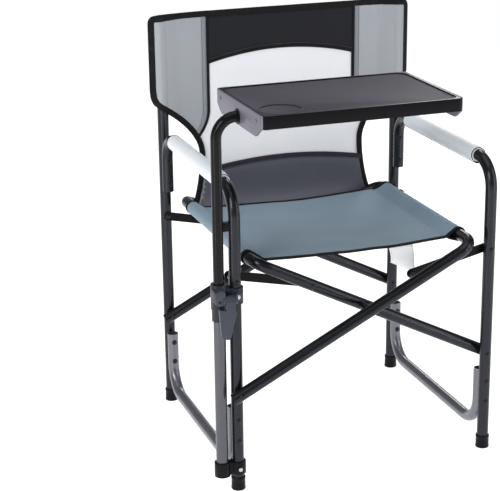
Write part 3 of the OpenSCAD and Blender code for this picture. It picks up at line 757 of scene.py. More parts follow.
class CHAIR_OT_rivets(bpy.types.Operator):
    """Turns each rivet with its domed heads"""

    bl_idname = "chair.rivets"
    bl_label = "Rivets"

    def execute(self, context):
        for node, body in RIVETS.items():
            source = bmesh.new()
            source.from_mesh(frame["nodes"][node].data)
            bmesh.ops.remove_doubles(source, verts=source.verts, dist=2e-6)
            bm = bmesh.new()
            for points in islands(source):
                low = Vector([min(p.co[i] for p in points) for i in range(3)])
                high = Vector([max(p.co[i] for p in points) for i in range(3)])
                middle = (low + high) / 2
                origin = Vector((middle.x, low.y, middle.z))
                whole = (high.y - low.y) * 1000

                def widest(near, far):
                    reach = [
                        hypot(p.co.x - middle.x, p.co.z - middle.z) * 1000
                        for p in points
                        if near - 0.01 < (p.co.y - low.y) * 1000 < far + 0.01
                    ]
                    return max(reach, default=3.0)

                outline = [(0, 0)]
                if widest(0, 0.1) > HEAD_FROM:
                    outline += [(2.2, 0.06), (4, 0.42), (5.3, 1.05), (5.95, 1.9), (6, 2.4)]
                    inner = HEAD_H
                else:
                    outline += [(2.6, 0), (3, 0.4)]
                    inner = 0.4
                outer = whole - (HEAD_H if widest(whole - 0.1, whole) > HEAD_FROM else 0.4)
                rings = sorted({round((p.co.y - low.y) * 1000, 2) for p in points})
                for ring in rings:
                    if inner + 0.05 < ring < outer - 0.05:
                        reach = widest(ring - 0.02, ring + 0.02)
                        outline += [(3, ring), (reach, ring)] if reach > HEAD_FROM else []
                if len(outline) % 2 and len(outline) > 7:
                    outline = outline[:-1]
                spacer = [p for p in outline if p[0] > 6.1 or (p[0] == 3 and p[1] > inner + 0.05)]
                outline = [p for p in outline if p not in spacer]
                outline += [(3, inner)]
                edges = sorted({p[1] for p in spacer})
                if len(edges) >= 2:
                    outline += [(3, edges[0]), (6.5, edges[0]), (6.5, edges[-1]), (3, edges[-1])]
                outline += [(3, outer)]
                if widest(whole - 0.1, whole) > HEAD_FROM:
                    outline += [(6, outer), (5.95, whole - 1.9), (5.3, whole - 1.05), (4, whole - 0.42)]
                    outline += [(2.2, whole - 0.06)]
                else:
                    outline += [(2.6, whole)]
                outline += [(0, whole)]
                turned(bm, outline, origin, (0, 1, 0), 24)
            source.free()
            piece(f"{node}_domed", bm, "rivet black", body, (node,))
        return {"FINISHED"}


class CHAIR_OT_feet(bpy.types.Operator):
    """Turns the four feet and the caps of the posts"""

    bl_idname = "chair.feet"
    bl_label = "Feet"

    def execute(self, context):
        foot = [(0, 0), (12.6, 0), (14.2, 0.5), (15, 1.8), (15, 5), (14.5, 5.8), (14.2, 7.2), (14.5, 8.4)]
        foot += [(14.5, 12), (14.1, 12.8), (14.5, 13.6), (14.5, 17), (14.1, 17.8), (14.5, 18.6), (14.5, 24)]
        foot += [(14.9, 25), (15, 27.4), (14.6, 29.2), (13.6, 30), (TUBE_R + 0.02, 29.6), (TUBE_R + 0.02, 4), (0, 4)]
        bore = TUBE_R - 1.25
        cap = [(0, -12), (bore, -12), (bore, 0), (TUBE_R, 0), (TUBE_R, 0.8), (11.4, 2.1), (7.5, 2.8), (0, 3)]
        for side, body in SIDES:
            for end in ("front", "back"):
                node = f"{side}_{end}_foot"
                bm = bmesh.new()
                centre = middle_of(node)
                turned(bm, foot, Vector((centre.x, centre.y, 0)), (0, 0, 1), 64)
                piece(f"{node}_cap", bm, "black moulding", body, (node,))
            node = f"{side}_post_cap"
            centre, top = middle_of(node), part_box(node)[1].z
            bm = bmesh.new()
            turned(bm, cap, Vector((centre.x, centre.y, top - 0.003)), (0, 0, 1), 48)
            piece(f"{node}_domed", bm, "black moulding", body, (node,))
        return {"FINISHED"}


# ---- Armrest pads ----


class CHAIR_OT_arm_pads(bpy.types.Operator):
    """Forms the foam wraps of the armrests with their end bindings and closing strips"""

    bl_idname = "chair.arm_pads"
    bl_label = "Armrest pads"

    def execute(self, context):
        pitch = context.scene.chair_sizes.stitch_pitch
        for side, body in SIDES:
            node = f"{side}_arm_pad"
            low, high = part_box(node)
            axis_x, axis_z = (low.x + high.x) / 2, (low.z + high.z) / 2
            outer = (high.x - low.x) * 500
            start, long = low.y, high.y - low.y

            def round_tube(angle, y, radius):
                return Vector((axis_x + radius / 1000 * sin(angle), y, axis_z - radius / 1000 * cos(angle)))

            def swell(angle, share):
                """Radius of the wrap: full in its length, pulled in at its ends and along its closing seam."""
                ends = min(share, 1 - share) * long * 1000
                full = outer - 0.15 - 3.1 * (1 - sqrt(max(0, 1 - (1 - min(1, ends / 9)) ** 2)))
                full -= 0.5 * (1 - soft_step(0, 22, ends))
                seam = 0.9 * (1 - soft_step(0.1, 0.55, min(angle, 2 * pi - angle)))
                lumps = ripple(cos(angle) * 18, share * long * 1000, sin(angle) * 18, 34, 0.32)
                creases = 0.18 * sin(share * long * 1000 / 3.1) * (1 - soft_step(4, 26, ends))
                return full - seam + lumps - 0.3 + creases * abs(sin(angle * 2.5))

            def place(u, v):
                angle = u * 2 * pi
                if v <= 0.04 or v >= 0.96:
                    share = 0.0 if v <= 0.04 else 1.0
                    edge = min(v, 1 - v) / 0.04
                    radius = TUBE_R + 0.05 + (swell(angle, share) - TUBE_R - 0.05) * edge
                    return round_tube(angle, start + share * long, radius)
                share = (v - 0.04) / 0.92
                spread = 0.5 - 0.5 * cos(pi * share) if share in (0, 1) else share
                return round_tube(angle, start + spread * long, swell(angle, spread))

            bm = bmesh.new()
            made = formed(bm, 72, 100, place, 0.113, long)
            bmesh.ops.remove_doubles(bm, verts=made, dist=1e-6)
            rims = [e for e in bm.edges if e.is_boundary]
            bmesh.ops.bridge_loops(bm, edges=rims)
            pad = piece(f"{node}_wrap", bm, "pad cover", body, (node,), angle=60)

            bm = bmesh.new()
            for y in (start + 0.0015, start + long - 0.0015):
                inward = 0.001 if y < start + long / 2 else -0.001
                ring = [round_tube(a * pi / 24, y, outer - 2.2) for a in range(49)]
                inner = [p + Vector((0, inward, 0)) for p in ring]
                section = [(-1.4, -0.6), (-0.9, 0.5), (0.6, 1.0), (3.2, 1.6), (4.6, 1.5), (4.6, 0.2), (0.5, -0.6)]
                swept(bm, frames_along(ring, inner), section)
            bmesh.ops.remove_doubles(bm, verts=bm.verts, dist=1e-5)
            piece(f"{node}_end_bindings", bm, "binding tape", body)

            bm = bmesh.new()
            half, reach = 0.42, outer - 0.55

            def strip_place(u, v):
                angle = (u - 0.5) * 2 * half
                y = start + 0.001 + v * (long - 0.002)
                fall = 0.25 * sin(v * 70) * (1 - abs(2 * u - 1))
                return round_tube(angle, y, reach + 1.2 * (1 - abs(2 * u - 1) ** 4) ** 0.5 * 0.5 + 0.35 + fall * 0.3)

            formed(bm, 10, 120, strip_place, 0.016, long)
            thick(piece(f"{side}_closing_strip", bm, "binding tape", body, (f"{side}_pad_strip",)), 0.8)
            bm = bmesh.new()
            for way in (-1, 1):
                steps = [start + 0.004 + i / 40 * (long - 0.008) for i in range(41)]
                line = [round_tube(way * half * 0.78, y, reach + 1.15) for y in steps]
                inner = [round_tube(way * half * 0.4, p.y, reach + 1.2) for p in line]
                up = -1 if way > 0 else 1
                stitches(bm, line if up > 0 else line[::-1], inner if up > 0 else inner[::-1], 0.1, pitch)
            piece(f"{side}_strip_stitches", bm, "grey thread", body)
        return {"FINISHED"}


# ---- Seat ----


def seat_profile():
    """The seat cloth's section from hem to hem: a sleeve sewn round each rail, and the sheet between."""
    radius, hem = 13.6, 9.0
    seam_x, seam_z = RAIL_X - SEAM_IN, seat_level(RAIL_X - SEAM_IN)
    gap = hypot(SEAM_IN, RAIL_Z - seam_z)
    spread = acos(radius / gap)
    inward = atan2(seam_z - RAIL_Z, -SEAM_IN)
    leave, arrive = inward + spread, inward - spread + 2 * pi

    def at(angle):
        return (RAIL_X + radius * cos(angle), RAIL_Z + radius * sin(angle))

    side = [(seam_x - hem, seat_level(seam_x - hem) - 1.6), (seam_x - hem / 2, seat_level(seam_x) - 1.6)]
    low, high = (seam_x, seam_z - 1.5), (seam_x, seam_z)
    for i in range(5):
        side.append((low[0] + (at(leave)[0] - low[0]) * i / 5, low[1] + (at(leave)[1] - low[1]) * i / 5))
    side += [at(leave + (arrive - leave) * i / 26) for i in range(27)]
    last = at(arrive)
    side += [(last[0] + (high[0] - last[0]) * i / 6, last[1] + (high[1] - last[1]) * i / 6) for i in range(1, 6)]
    top = [(x, seat_level(x)) for x in [seam_x * (1 - i / 26) for i in range(53)]]
    return side + top + [(-x, z) for x, z in reversed(side)], len(side)


def seat_ends(x):
    """Front and back edge of the cloth at x: it is cut back where a rail starts to bend."""
    front = 44 + 17 * soft_step(RAIL_X - 36, RAIL_X - 13, -x)
    back = POST_Y - 44 - 17 * soft_step(RAIL_X - 36, RAIL_X - 13, x)
    return front, back


def seat_slack(x, y):
    """How far the cloth strays from its even sag: ripples, a deeper middle and pulls at the corners."""
    across = max(0.0, 1 - (x / (RAIL_X - SEAM_IN)) ** 2)
    along = min(1.0, max(0.0, (y - 44) / (POST_Y - 88)))
    slack = -1.6 * sqrt(across) * sin(pi * along)
    pulls = 0.0
    for corner_x, corner_y in ((-RAIL_X, 50), (RAIL_X, 44), (-RAIL_X, POST_Y - 44), (RAIL_X, POST_Y - 50)):
        away = hypot(x - corner_x, y - corner_y)
        turn = atan2(y - corner_y, x - corner_x)
        pulls += 0.9 * sin(turn * 12) * soft_step(250, 60, away) if away < 250 else 0
    near_seam = soft_step(RAIL_X - SEAM_IN - 16, RAIL_X - SEAM_IN - 2, abs(x))
    seam_tucks = 0.55 * sin(y / 3.6 + 0.7 * sin(y / 19)) * near_seam
    bands = 0.9 * sin(y / 15 + 0.9 * sin(x / 70)) * sqrt(across)
    return slack + (pulls * 0.7 + bands + ripple(x, y, 0, 70, 1.6) + ripple(x, y, 9, 24, 0.5)) * across + seam_tucks


def seat_spot(x, y, lift=0.0):
    return put(x, y, seat_level(x) + seat_slack(x, y) + lift)


class CHAIR_OT_seat(bpy.types.Operator):
    """Hangs the seat cloth between the rails, with its sleeves, bindings, stitches and blank tag"""

    bl_idname = "chair.seat"
    bl_label = "Seat cloth"

    def execute(self, context):
        sizes = context.scene.chair_sizes
        profile, side_count = seat_profile()
        columns, rows = len(profile) - 1, 90
        flat_top = range(side_count, len(profile) - side_count)

        def cloth(index, share):
            x, z = profile[index]
            front, back = seat_ends(x)
            y = front + (back - front) * share
            if index in flat_top:
                z = z + seat_slack(x, y)
            elif abs(x) > RAIL_X - SEAM_IN + 1:
                z = z + 0.35 * sin(y / 3.6 + 0.7 * sin(y / 19)) * (z > RAIL_Z) + ripple(x, y, 4, 40, 0.3)
            return put(x, y, z)

        girth = sum(hypot(a[0] - b[0], a[1] - b[1]) for a, b in zip(profile, profile[1:])) / 1000
        depth = (POST_Y - 88) / 1000
        bm = bmesh.new()
        formed(bm, columns, rows, lambda u, v: cloth(round(u * columns), v), girth, depth)
        seat = thick(piece("seat_cloth", bm, "seat cloth", "seat", ("seat_sling",)), sizes.seat_cloth)

        bm = bmesh.new()
        for share, inside in ((0.0, 0.03), (1.0, 0.97)):
            edge = [cloth(i, share) for i in range(3, columns - 2)]
            inner = [cloth(i, inside) for i in range(3, columns - 2)]
            tape(bm, edge, inner, 9, 1.9, 2.2)
        binding = piece("seat_edge_bindings", bm, "binding tape", "seat", ("seat_binding",))

        bm = bmesh.new()
        for way in (-1, 1):
            for inset in (SEAM_IN - 1.5, SEAM_IN + 2.5):
                line, inner = [], []
                for k in range(90):
                    x = way * (RAIL_X - inset)
                    front, back = seat_ends(x)
                    y = front + 9 + (back - front - 18) * k / 89
                    line.append(seat_spot(x, y))
                    inner.append(seat_spot(x - way, y))
                if way < 0:
                    line, inner = line[::-1], inner[::-1]
                stitches(bm, line, inner, 0.7, sizes.stitch_pitch)
        for share in (0.019, 0.981):
            line = [cloth(i, share) for i in flat_top]
            inner = [cloth(i, share + (0.01 if share < 0.5 else -0.01)) for i in flat_top]
            if share > 0.5:
                line, inner = line[::-1], inner[::-1]
            stitches(bm, line, inner, 2.1, sizes.stitch_pitch)
        sewing = piece("seat_stitches", bm, "seat thread", "seat")

        def tag_place(u, v):
            x = 72 + 55 * u + (15 - 7 * u) * v + 2.0 * sin(v * 5) * u
            hang = (44 + 20 * u) * v
            y = 45.5 + 20 * (1 - u) ** 2 * v * v + 2.5 * sin(u * 4.4 + 0.6) * v + 3 * sin(v * 4) * u
            return put(x, y, seat_level(x) - 0.5 - hang)

        bm = bmesh.new()
        formed(bm, 22, 26, tag_place, 0.06, 0.062)
        tag = thick(piece("seat_tag", bm, "label satin", "seat", ("seat_label",)), 0.45)
        bm = bmesh.new()
        for edge in (0.06, 0.94):
            line = [tag_place(edge, k / 20) for k in range(21)]
            inner = [tag_place(0.5, k / 20) for k in range(21)]
            stitches(bm, line, inner, 0.3, 3.2, 2.2, 0.5)
            stitches(bm, line, inner, -0.3, 3.2, 2.2, 0.5)
        hem = piece("seat_tag_stitches", bm, "seat thread", "seat")

        for made in (seat, binding, sewing, tag, hem):
            tuple(put(RAIL_X, 0, RAIL_Z))
            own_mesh(made)
        return {"FINISHED"}


# ---- Back ----


def lie(x, z):
    """How far behind the flat the back cloth lies, from its slack."""
    across = max(0.0, 1 - (x / 285) ** 2)
    return 2.2 * across * sin(pi * min(1, max(0, (z - 440) / 480))) + across * ripple(x, 3, z, 90, 1.0)


def back_point(x, z, forward=0.0):
    return put(x, POST_Y + lie(x, z) - forward, z)


def squash_back(*made):
    for one in made:
        tuple(put(-SEAM_X, 0, 0))
        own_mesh(one)


class CHAIR_OT_back_panels(bpy.types.Operator):
    """Sews the middle of the back: the high panel, the open mesh and their bindings"""

    bl_idname = "chair.back_panels"
    bl_label = "Back panels"

    def execute(self, context):
        sizes = context.scene.chair_sizes
        wide = SEAM_X + 2

        def high_place(face):
            def place(u, v):
                x = wide * (2 * u - 1)
                low, top = top_arc(x) - 1, top_edge(x) - 1
                z = low + (top - low) * v
                puff = 1.1 * (sin(pi * u) ** 0.4) * (sin(pi * v) ** 0.4)
                return back_point(x, z, face * (0.9 + puff + 0.25 * sin(x / 5.5) * v ** 10))

            return place

        bm = bmesh.new()
        formed(bm, 90, 30, high_place(1), 2 * wide / 1000, 0.1)
        formed(bm, 90, 30, high_place(-1), 2 * wide / 1000, 0.1)
        bmesh.ops.bridge_loops(bm, edges=[e for e in bm.edges if e.is_boundary])
        high = piece("top_panel_cloth", bm, "top panel cloth", "root", ("back_top_panel",), angle=70)

        bm = bmesh.new()
        arc = [x * SEAM_X / 40 for x in range(-40, 41)]
        tape(bm, [back_point(x, top_arc(x) - 1.5) for x in arc], [back_point(x, top_arc(x) + 5) for x in arc], 11, 2.4)
        band = piece("top_panel_hem", bm, "binding tape", "root")

        def mesh_place(u, v):
            across, low = 2 * u - 1, BACK_LOW + 8
            z = low + (top_arc(across * SEAM_X) + 6 - low) * v
            return back_point(across * (middle_x(z) - 1.5), z, -0.6)

        bm = bmesh.new()
        formed(bm, 80, 90, mesh_place, 0.37, 0.37)
        net_piece = piece("mesh_cloth", bm, "back mesh", "root", ("back_mesh_panel",))
        thick(net_piece, 0.7)

        bm = bmesh.new()
        for face in (1, -1):
            line = [back_point(x, top_arc(x) + 7.5, face * 2.9) for x in arc]
            inner = [back_point(x, top_arc(x) + 12, face * 2.9) for x in arc]
            if face > 0:
                line, inner = line[::-1], inner[::-1]
            stitches(bm, line[::-1], inner[::-1], 0.1, sizes.stitch_pitch)
        for drop in (9.5, 12.5):
            line = [back_point(x, top_edge(x) - drop, 2.9) for x in arc]
            inner = [back_point(x, top_edge(x) - drop - 4, 2.9) for x in arc]
            stitches(bm, line, inner, 0.3, sizes.stitch_pitch)
        sewing = piece("top_panel_stitches", bm, "grey thread", "root")

        bm = bmesh.new()
        for way in (-1, 1):
            heights = [BACK_LOW + 6 + (TIP_Z - BACK_LOW - 3) * k / 60 for k in range(61)]
            edge = [back_point(way * edge_x(z), z, 1.2) for z in heights]
            inner = [back_point(way * (edge_x(z) - 8), z, 1.2) for z in heights]
            tape(bm, edge, inner, sizes.binding_width, 3.6, 1.8)
        sides = piece("back_side_bindings", bm, "binding tape", "root")

        bm = bmesh.new()
        tape(
            bm,
            [back_point(x, top_edge(x) + 0.5) for x in arc],
            [back_point(x, top_edge(x) - 6) for x in arc],
            sizes.binding_width + 3,
            2.9,
            1.6,
        )
        rim = piece("top_panel_edge", bm, "binding tape", "root")
        squash_back(high, band, net_piece, sewing, sides, rim)
        return {"FINISHED"}


def puffed(made, cap):
    """Blows a padded piece up a little with cloth simulation, no point further than cap millimetres."""
    scene = bpy.context.scene
    bpy.context.view_layer.objects.active = made
    made.select_set(True)
    rest = made.data.copy()
    made.data.remesh_voxel_size = 0.0045
    bpy.ops.object.voxel_remesh()
    start = [v.co.copy() for v in made.data.vertices]
    cloth = made.modifiers.new("puff", "CLOTH")
    cloth.settings.use_pressure = True
    cloth.settings.uniform_pressure_force = 4
    cloth.settings.effector_weights.gravity = 0
    scene.frame_start, scene.frame_end = 1, 20
    for step in range(1, 21):
        scene.frame_set(step)
    shown = made.evaluated_get(bpy.context.evaluated_depsgraph_get())
    moved = [v.co.copy() for v in shown.data.vertices]
    made.modifiers.remove(cloth)
    scene.frame_set(1)
    for vertex, old, new in zip(made.data.vertices, start, moved):
        shift = new - old
        if shift.length > cap / 1000:
            shift *= cap / 1000 / shift.length
        vertex.co = old + shift
    bm = bmesh.new()
    bm.from_mesh(made.data)
    bmesh.ops.smooth_vert(bm, verts=bm.verts, factor=0.5, use_axis_x=True, use_axis_y=True, use_axis_z=True)
    bmesh.ops.subdivide_edges(bm, edges=bm.edges, cuts=1, use_grid_fill=True, smooth=0.0)
    bmesh.ops.smooth_vert(bm, verts=bm.verts, factor=0.5, use_axis_x=True, use_axis_y=True, use_axis_z=True)
    bm.to_mesh(made.data)
    bm.free()
    made.data.shade_smooth()
    made.select_set(False)
    bpy.data.meshes.remove(rest)
    return made


class CHAIR_OT_lumbar(bpy.types.Operator):
    """Fills the low back pad, with its taped top edge and a gathered corner"""

    bl_idname = "chair.lumbar"
    bl_label = "Lumbar pad"

    def execute(self, context):
        sizes = context.scene.chair_sizes

        def place(face):
            def at(u, v):
                s = 2 * u - 1
                z_top = lumbar_arc(s * WAIST_X) - 2
                z = BACK_LOW + 2 + (z_top - BACK_LOW - 2) * v
                x = s * (edge_x(z) - 3)
                return back_point(x, z, 3.0 + face * 1.6)

            return at

        bm = bmesh.new()
        formed(bm, 76, 24, place(1))
        formed(bm, 76, 24, place(-1))
        bmesh.ops.bridge_loops(bm, edges=[e for e in bm.edges if e.is_boundary])
        pad = piece("lumbar_cushion", bm, "lumbar cloth", "root", ("lumbar_pad",), angle=80)
        puffed(pad, sizes.pad_puff)
        for vertex in pad.data.vertices:
            x = (vertex.co.x - MIDDLE_X) * 1000
            z = vertex.co.z * 1000
            vertex.co.y += ripple(x, 0, z, 36, 0.0007) + ripple(x, 5, z, 14, 0.0002)

        arc = [x * (WAIST_X - 1) / 44 for x in range(-44, 45)]
        bm = bmesh.new()
        tape(
            bm,
            [back_point(x, lumbar_arc(x) + 1, 3.2) for x in arc],
            [back_point(x, lumbar_arc(x) - 6, 3.2) for x in arc],
            9.5,
            3.4,
        )
        band = piece("lumbar_top_tape", bm, "dark grey tape", "root")
        bm = bmesh.new()
        for face in (1, -1):
            line = [back_point(x, lumbar_arc(x) - 7.6, 3.2 + face * 3.75) for x in arc]
            inner = [back_point(x, lumbar_arc(x) - 11, 3.2 + face * 3.75) for x in arc]
            if face < 0:
                line, inner = line[::-1], inner[::-1]
            stitches(bm, line, inner, 0.1, sizes.stitch_pitch)
        sewing = piece("lumbar_stitches", bm, "grey thread", "root")

        bm = bmesh.new()

        def gathered(u, v):
            z = 462 + 94 * v
            tuck = sin(v * 44 + 1.1 * sin(v * 11)) * (1 - 0.6 * u)
            x = -(edge_x(z) - 9 - 24 * u)
            forward = 8.2 - 2.5 * u + 2.1 * tuck * sin(pi * min(1, u * 0.9 + 0.1))
            return back_point(x, z + 1.8 * sin(u * 6 + v * 20), forward)

        # The gathers take a grey colour where the cloth is black: painted highlight on its puckers.
        formed(bm, 14, 130, gathered, 0.024, 0.16)
        tucks = thick(piece("lumbar_gathers", bm, "gathered tape", "root"), 0.7)
        squash_back(pad, band, sewing, tucks)
        return {"FINISHED"}


def smooth_corner(corner, from_point, to_point, radius, count=8):
    """Points of a rounded corner in the back's plane."""
    made = []
    start = corner + (from_point - corner).normalized() * radius
    end = corner + (to_point - corner).normalized() * radius
    for i in range(count + 1):
        t = i / count
        made.append(start * (1 - t) ** 2 + corner * 2 * t * (1 - t) + end * t * t)
    return made


def wing_lines():
    """A wing's boundary as (x, z) points with z as y: low edge, outer edge, top edge and inner seam."""
    low = [Vector((edge_x(z), z)) for z in [TIP_Z + (706 - TIP_Z) * i / 30 for i in range(31)]]
    corner = Vector((WING_X - 1.5, 722))
    low += smooth_corner(corner, low[-1], Vector((WING_X, 780)), 22, 10)[1:]
    low.append(Vector((WING_X, 752)))
    outer_corner = Vector((WING_X, top_edge(WING_X) + 0.5))
    bend = smooth_corner(outer_corner, Vector((WING_X, 850)), Vector((SEAM_X, BACK_TOP)), 16, 10)
    outer = [Vector((WING_X, 752)), Vector((WING_X, 850))] + bend[:6]
    top = [Vector((SEAM_X + (bend[-1].x - SEAM_X) * i / 20, 0)) for i in range(20)]
    top = [Vector((p.x, top_edge(p.x) + 0.4)) for p in top] + bend[:4:-1]
    seam = [Vector((seam_x(z), z)) for z in [TIP_Z + (BACK_TOP - TIP_Z) * i / 60 for i in range(61)]]
    seam[-1] = top[0].copy()
    return low, outer, top, seam


def flat_length(points):
    return sum((b - a).length for a, b in zip(points, points[1:]))


def along(points, share):
    """The point a share of the way along a line, by its length."""
    want = flat_length(points) * share
    for a, b in zip(points, points[1:]):
        step = (b - a).length
        if want <= step:
            return a.lerp(b, want / step if step else 0)
        want -= step
    return points[-1].copy()


def pocket(x, z):
    """Half the opening between the wing's two plies: round over the post, closing to the seam and the outer edge."""
    off = abs(x) - LEG_X
    radius = TUBE_R + 2.2
    if abs(off) < radius * 0.6:
        opening = sqrt(radius**2 - off**2)
    elif off > 0:
        opening = radius * 0.8 * (1 - (off - radius * 0.6) / (WING_X - LEG_X - radius * 0.6 - 1.5))
    else:
        opening = radius * 0.8 * (1 - soft_step(radius * 0.2, 62, -off)) ** 1.25
    close = min(1.0, max(0.0, (z - 889) / 29))
    return 0.9 + (max(opening, 0.9) - 0.9) * max(0.0, 1 - close**3) ** 0.4


class Wing:
    """The cloth of a wing: where its plies lie for u across from the seam and v up from the low edge."""

    columns, rows = 60, 70

    def __init__(self):
        low, outer, top, seam = wing_lines()
        corners = (low[0], low[-1], top[0], top[-1])
        self.spots = []
        for j in range(self.rows + 1):
            v = j / self.rows
            c, d = along(seam, v), along(outer, v)
            row = []
            for i in range(self.columns + 1):
                u = i / self.columns
                sides = along(low, u) * (1 - v) + along(top, u) * v + c * (1 - u) + d * u
                both = corners[0] * (1 - u) * (1 - v) + corners[1] * u * (1 - v)
                row.append(sides - both - corners[2] * (1 - u) * v - corners[3] * u * v)
            self.spots.append(row)

    def spot(self, u, v):
        i, j = min(int(u * self.columns), self.columns - 1), min(int(v * self.rows), self.rows - 1)
        s, t = u * self.columns - i, v * self.rows - j
        low = self.spots[j][i].lerp(self.spots[j][i + 1], s)
        return low.lerp(self.spots[j + 1][i].lerp(self.spots[j + 1][i + 1], s), t)

    def lies(self, way, face, u, v):
        """A point of the front (face 1) or rear (face -1) ply."""
        x, z = self.spot(u, v)
        return wing_point(way, face, x, z)


def wing_point(way, face, x, z, lift=0.0):
    """Where a ply of a wing lies over its post, lift millimetres off it, with its slack and its puckers."""
    edge = min(1.0, max(0.0, min(WING_X - x, top_edge(x) - z) / 4))
    crumple = ripple(x, face * 7, z, 46, 1.6) + ripple(x, face * 3, z, 17, 0.4)
    near_top = soft_step(top_edge(x) - 46, top_edge(x) - 9, z) * (1 - soft_step(LEG_X - 22, LEG_X - 8, x))
    near_seam = soft_step(seam_x(z) + 40, seam_x(z) + 7, x) * (1 - near_top)
    tug = 1.1 * sin(x / 3.4 + 0.8 * sin(x / 13)) * near_top + 0.5 * sin(z / 4.2 + 0.9 * sin(z / 21)) * near_seam
    calm = edge * (1 - soft_step(LEG_X - 26, LEG_X - 10, x))
    gap = 0.55 + (pocket(x, z) - 0.55) * edge + (crumple + tug) * calm * 0.6
    lean = lie(x, z) * (1 - soft_step(200, 260, x))
    return put(way * x, POST_Y + lean - face * (max(0.5, gap) + lift), z)


def wing_binding(bm, way, face, width):
    """Binding on one ply of a wing, from the low tip along the mouth, up the outer edge and along the top."""
    low, outer, top, _ = wing_lines()
    edge = evenly(low + outer[1:] + top[-2::-1], 261)
    section = [(-1.6, 0), (-0.9, 0.9), (1, 1.3), (width * 0.5, 1.5), (width - 1.2, 1.3), (width, 0.5)]

    def place(a, b):
        inset, lift = section[round(a * (len(section) - 1))]
        k = round(b * 260)
        run = (edge[min(k + 1, 260)] - edge[max(k - 1, 0)]).normalized()
        x, z = edge[k] + Vector((-run.y, run.x)) * inset
        point = wing_point(way, face, x, z, lift)
        if inset < -1.5 and edge[k].y > 752:
            point.y = put(0, POST_Y + lie(x, z) * (1 - soft_step(200, 260, x)) - face * 0.1, 0).y
        return point

    formed(bm, len(section) - 1, 260, place, width / 1000, 0.5)


class CHAIR_OT_wings(bpy.types.Operator):
    """Sews the wings over the back posts, with pockets, bindings, tape and stitches"""

    bl_idname = "chair.wings"
    bl_label = "Wings"

    def execute(self, context):
        sizes = context.scene.chair_sizes
        wing = Wing()
        width = sizes.binding_width
        for side, way, body in (("right", -1, "root"), ("left", 1, "left_frame")):
            bm = bmesh.new()
            for face in (1, -1):
                formed(bm, wing.columns, wing.rows, lambda u, v: wing.lies(way, face, u, v), 0.136, 0.285)
            cloth = piece(f"{side}_wing_cloth", bm, "wing cloth", body, (f"{side}_wing",), angle=70)
            thick(cloth, sizes.back_cloth)

            bm = bmesh.new()
            for face in (1, -1):
                wing_binding(bm, way, face, width)
            binding = thick(piece(f"{side}_wing_binding", bm, "binding tape", body, angle=60), 1.0)

            bm = bmesh.new()
            line = [Vector((seam_x(z), z)) for z in [TIP_Z + 2 + (BACK_TOP - TIP_Z - 4) * k / 70 for k in range(71)]]
            edge = [back_point(way * (p.x - 1.2), p.y, 0) for p in line]
            inner = [back_point(way * (p.x + 6), p.y + (2 if p.y < 700 else 0), 0) for p in line]
            tape(bm, edge, inner, 5.6, 2.9, 1.4)
            piping = piece(f"{side}_seam_piping", bm, "binding tape", body)

            def seam_strip(face):
                def place(u, v):
                    z = TIP_Z + 12 + (BACK_TOP - 12 - TIP_Z - 13) * v
                    room = max(0.0, min(10.5, edge_x(z) - seam_x(z) - 12)) if z < 715 else 10.5
                    x = seam_x(z) + 4.2 + room * u
                    tuck = 0.35 * sin(z / 4.2 + 0.9 * sin(z / 21)) * u
                    return back_point(way * x, z, face * (pocket(x, z) + 1.3 + tuck))

                return place

            bm = bmesh.new()
            for face in (1, -1):
                formed(bm, 4, 90, seam_strip(face), 0.011, 0.28)
            strip = thick(piece(f"{side}_seam_tape", bm, "wing tape", body), 0.5)

            bm = bmesh.new()
            for face in (1, -1):
                spread = seam_strip(face)
                for share in (0.22, 0.92):
                    line = [spread(share, 0.16 + 0.84 * k / 80) for k in range(81)]
                    inner = [spread(share + 0.1, 0.16 + 0.84 * k / 80) for k in range(81)]
                    if face * way > 0:
                        line, inner = line[::-1], inner[::-1]
                    stitches(bm, line, inner, 0.4, sizes.stitch_pitch, wide=1.0)
            sewing = piece(f"{side}_wing_stitches", bm, "dark grey thread", body)
        return {"FINISHED"}


# ---- Pole holders ----


class CHAIR_OT_pole_holders(bpy.types.Operator):
    """Rounds off the clamp, its lever and the holders of the table pole"""

    bl_idname = "chair.pole_holders"
    bl_label = "Pole holders"

    def execute(self, context):
        clamp = softened("clamp_body", "pole_clamp", 1.1, "clamp moulding", "root")
        clamp.data.materials.append(finishes("lever moulding"))
        for face in clamp.data.polygons:
            if face.center.y < put(0, LEG_Y - 18.5, 0).y and face.center.z > 0.42:
                face.material_index = 1
        softened("socket_body", "pole_socket", 1.0, "black moulding", "root")
        softened("saddle_body", "pole_saddle", 0.7, "black moulding", "root")
        softened("clamp_lever_blade", "clamp_lever", 1.3, "lever moulding", "lever", segments=3)
        softened("clamp_screw_heads", "clamp_screws", 0.8, "zinc steel", "root")
        softened("clamp_pin", "lever_pin", 0.6, "zinc steel", "root")
        return {"FINISHED"}


# ---- Table ----


class CHAIR_OT_table(bpy.types.Operator):
    """Rounds off the table's tray, end plates and bushes"""

    bl_idname = "chair.table"
    bl_label = "Side table"

    def execute(self, context):
        tray = softened("tray_moulding", "table_tray", 1.1, "table moulding", "table", segments=3)
        # Faces turned sideways or down, and the rim above the tray's floor, take the near-black copy: painted shade.
        tray.data.materials.append(finishes("table rim moulding"))
        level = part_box("table_tray")[1].z - 0.0018
        for face in tray.data.polygons:
            if face.normal.z < 0.55 or face.center.z > level:
                face.material_index = 1
        low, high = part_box("table_tray")
        centre = Vector((low.x + 0.055, low.y + 0.0565, high.z - 0.0025))
        bm = bmesh.new()
        ring = [(41.6, 0), (42.1, 0.7), (43, 1.0), (43.9, 0.7), (44.4, 0), (43, -0.6), (41.6, 0)]
        turned(bm, ring, centre, (0, 0, 1), 72)
        piece("cup_ring", bm, "table moulding", "table")
        softened("near_plate_moulding", "table_near_plate", 1.3, "end plate moulding", "table")
        softened("far_plate_moulding", "table_far_plate", 1.3, "end plate moulding", "table")
        softened("arm_bushes", "table_grommets", 0.8, "black moulding", "table")
        softened("plate_screws", "table_screws", 0.6, "end plate moulding", "table")
        return {"FINISHED"}


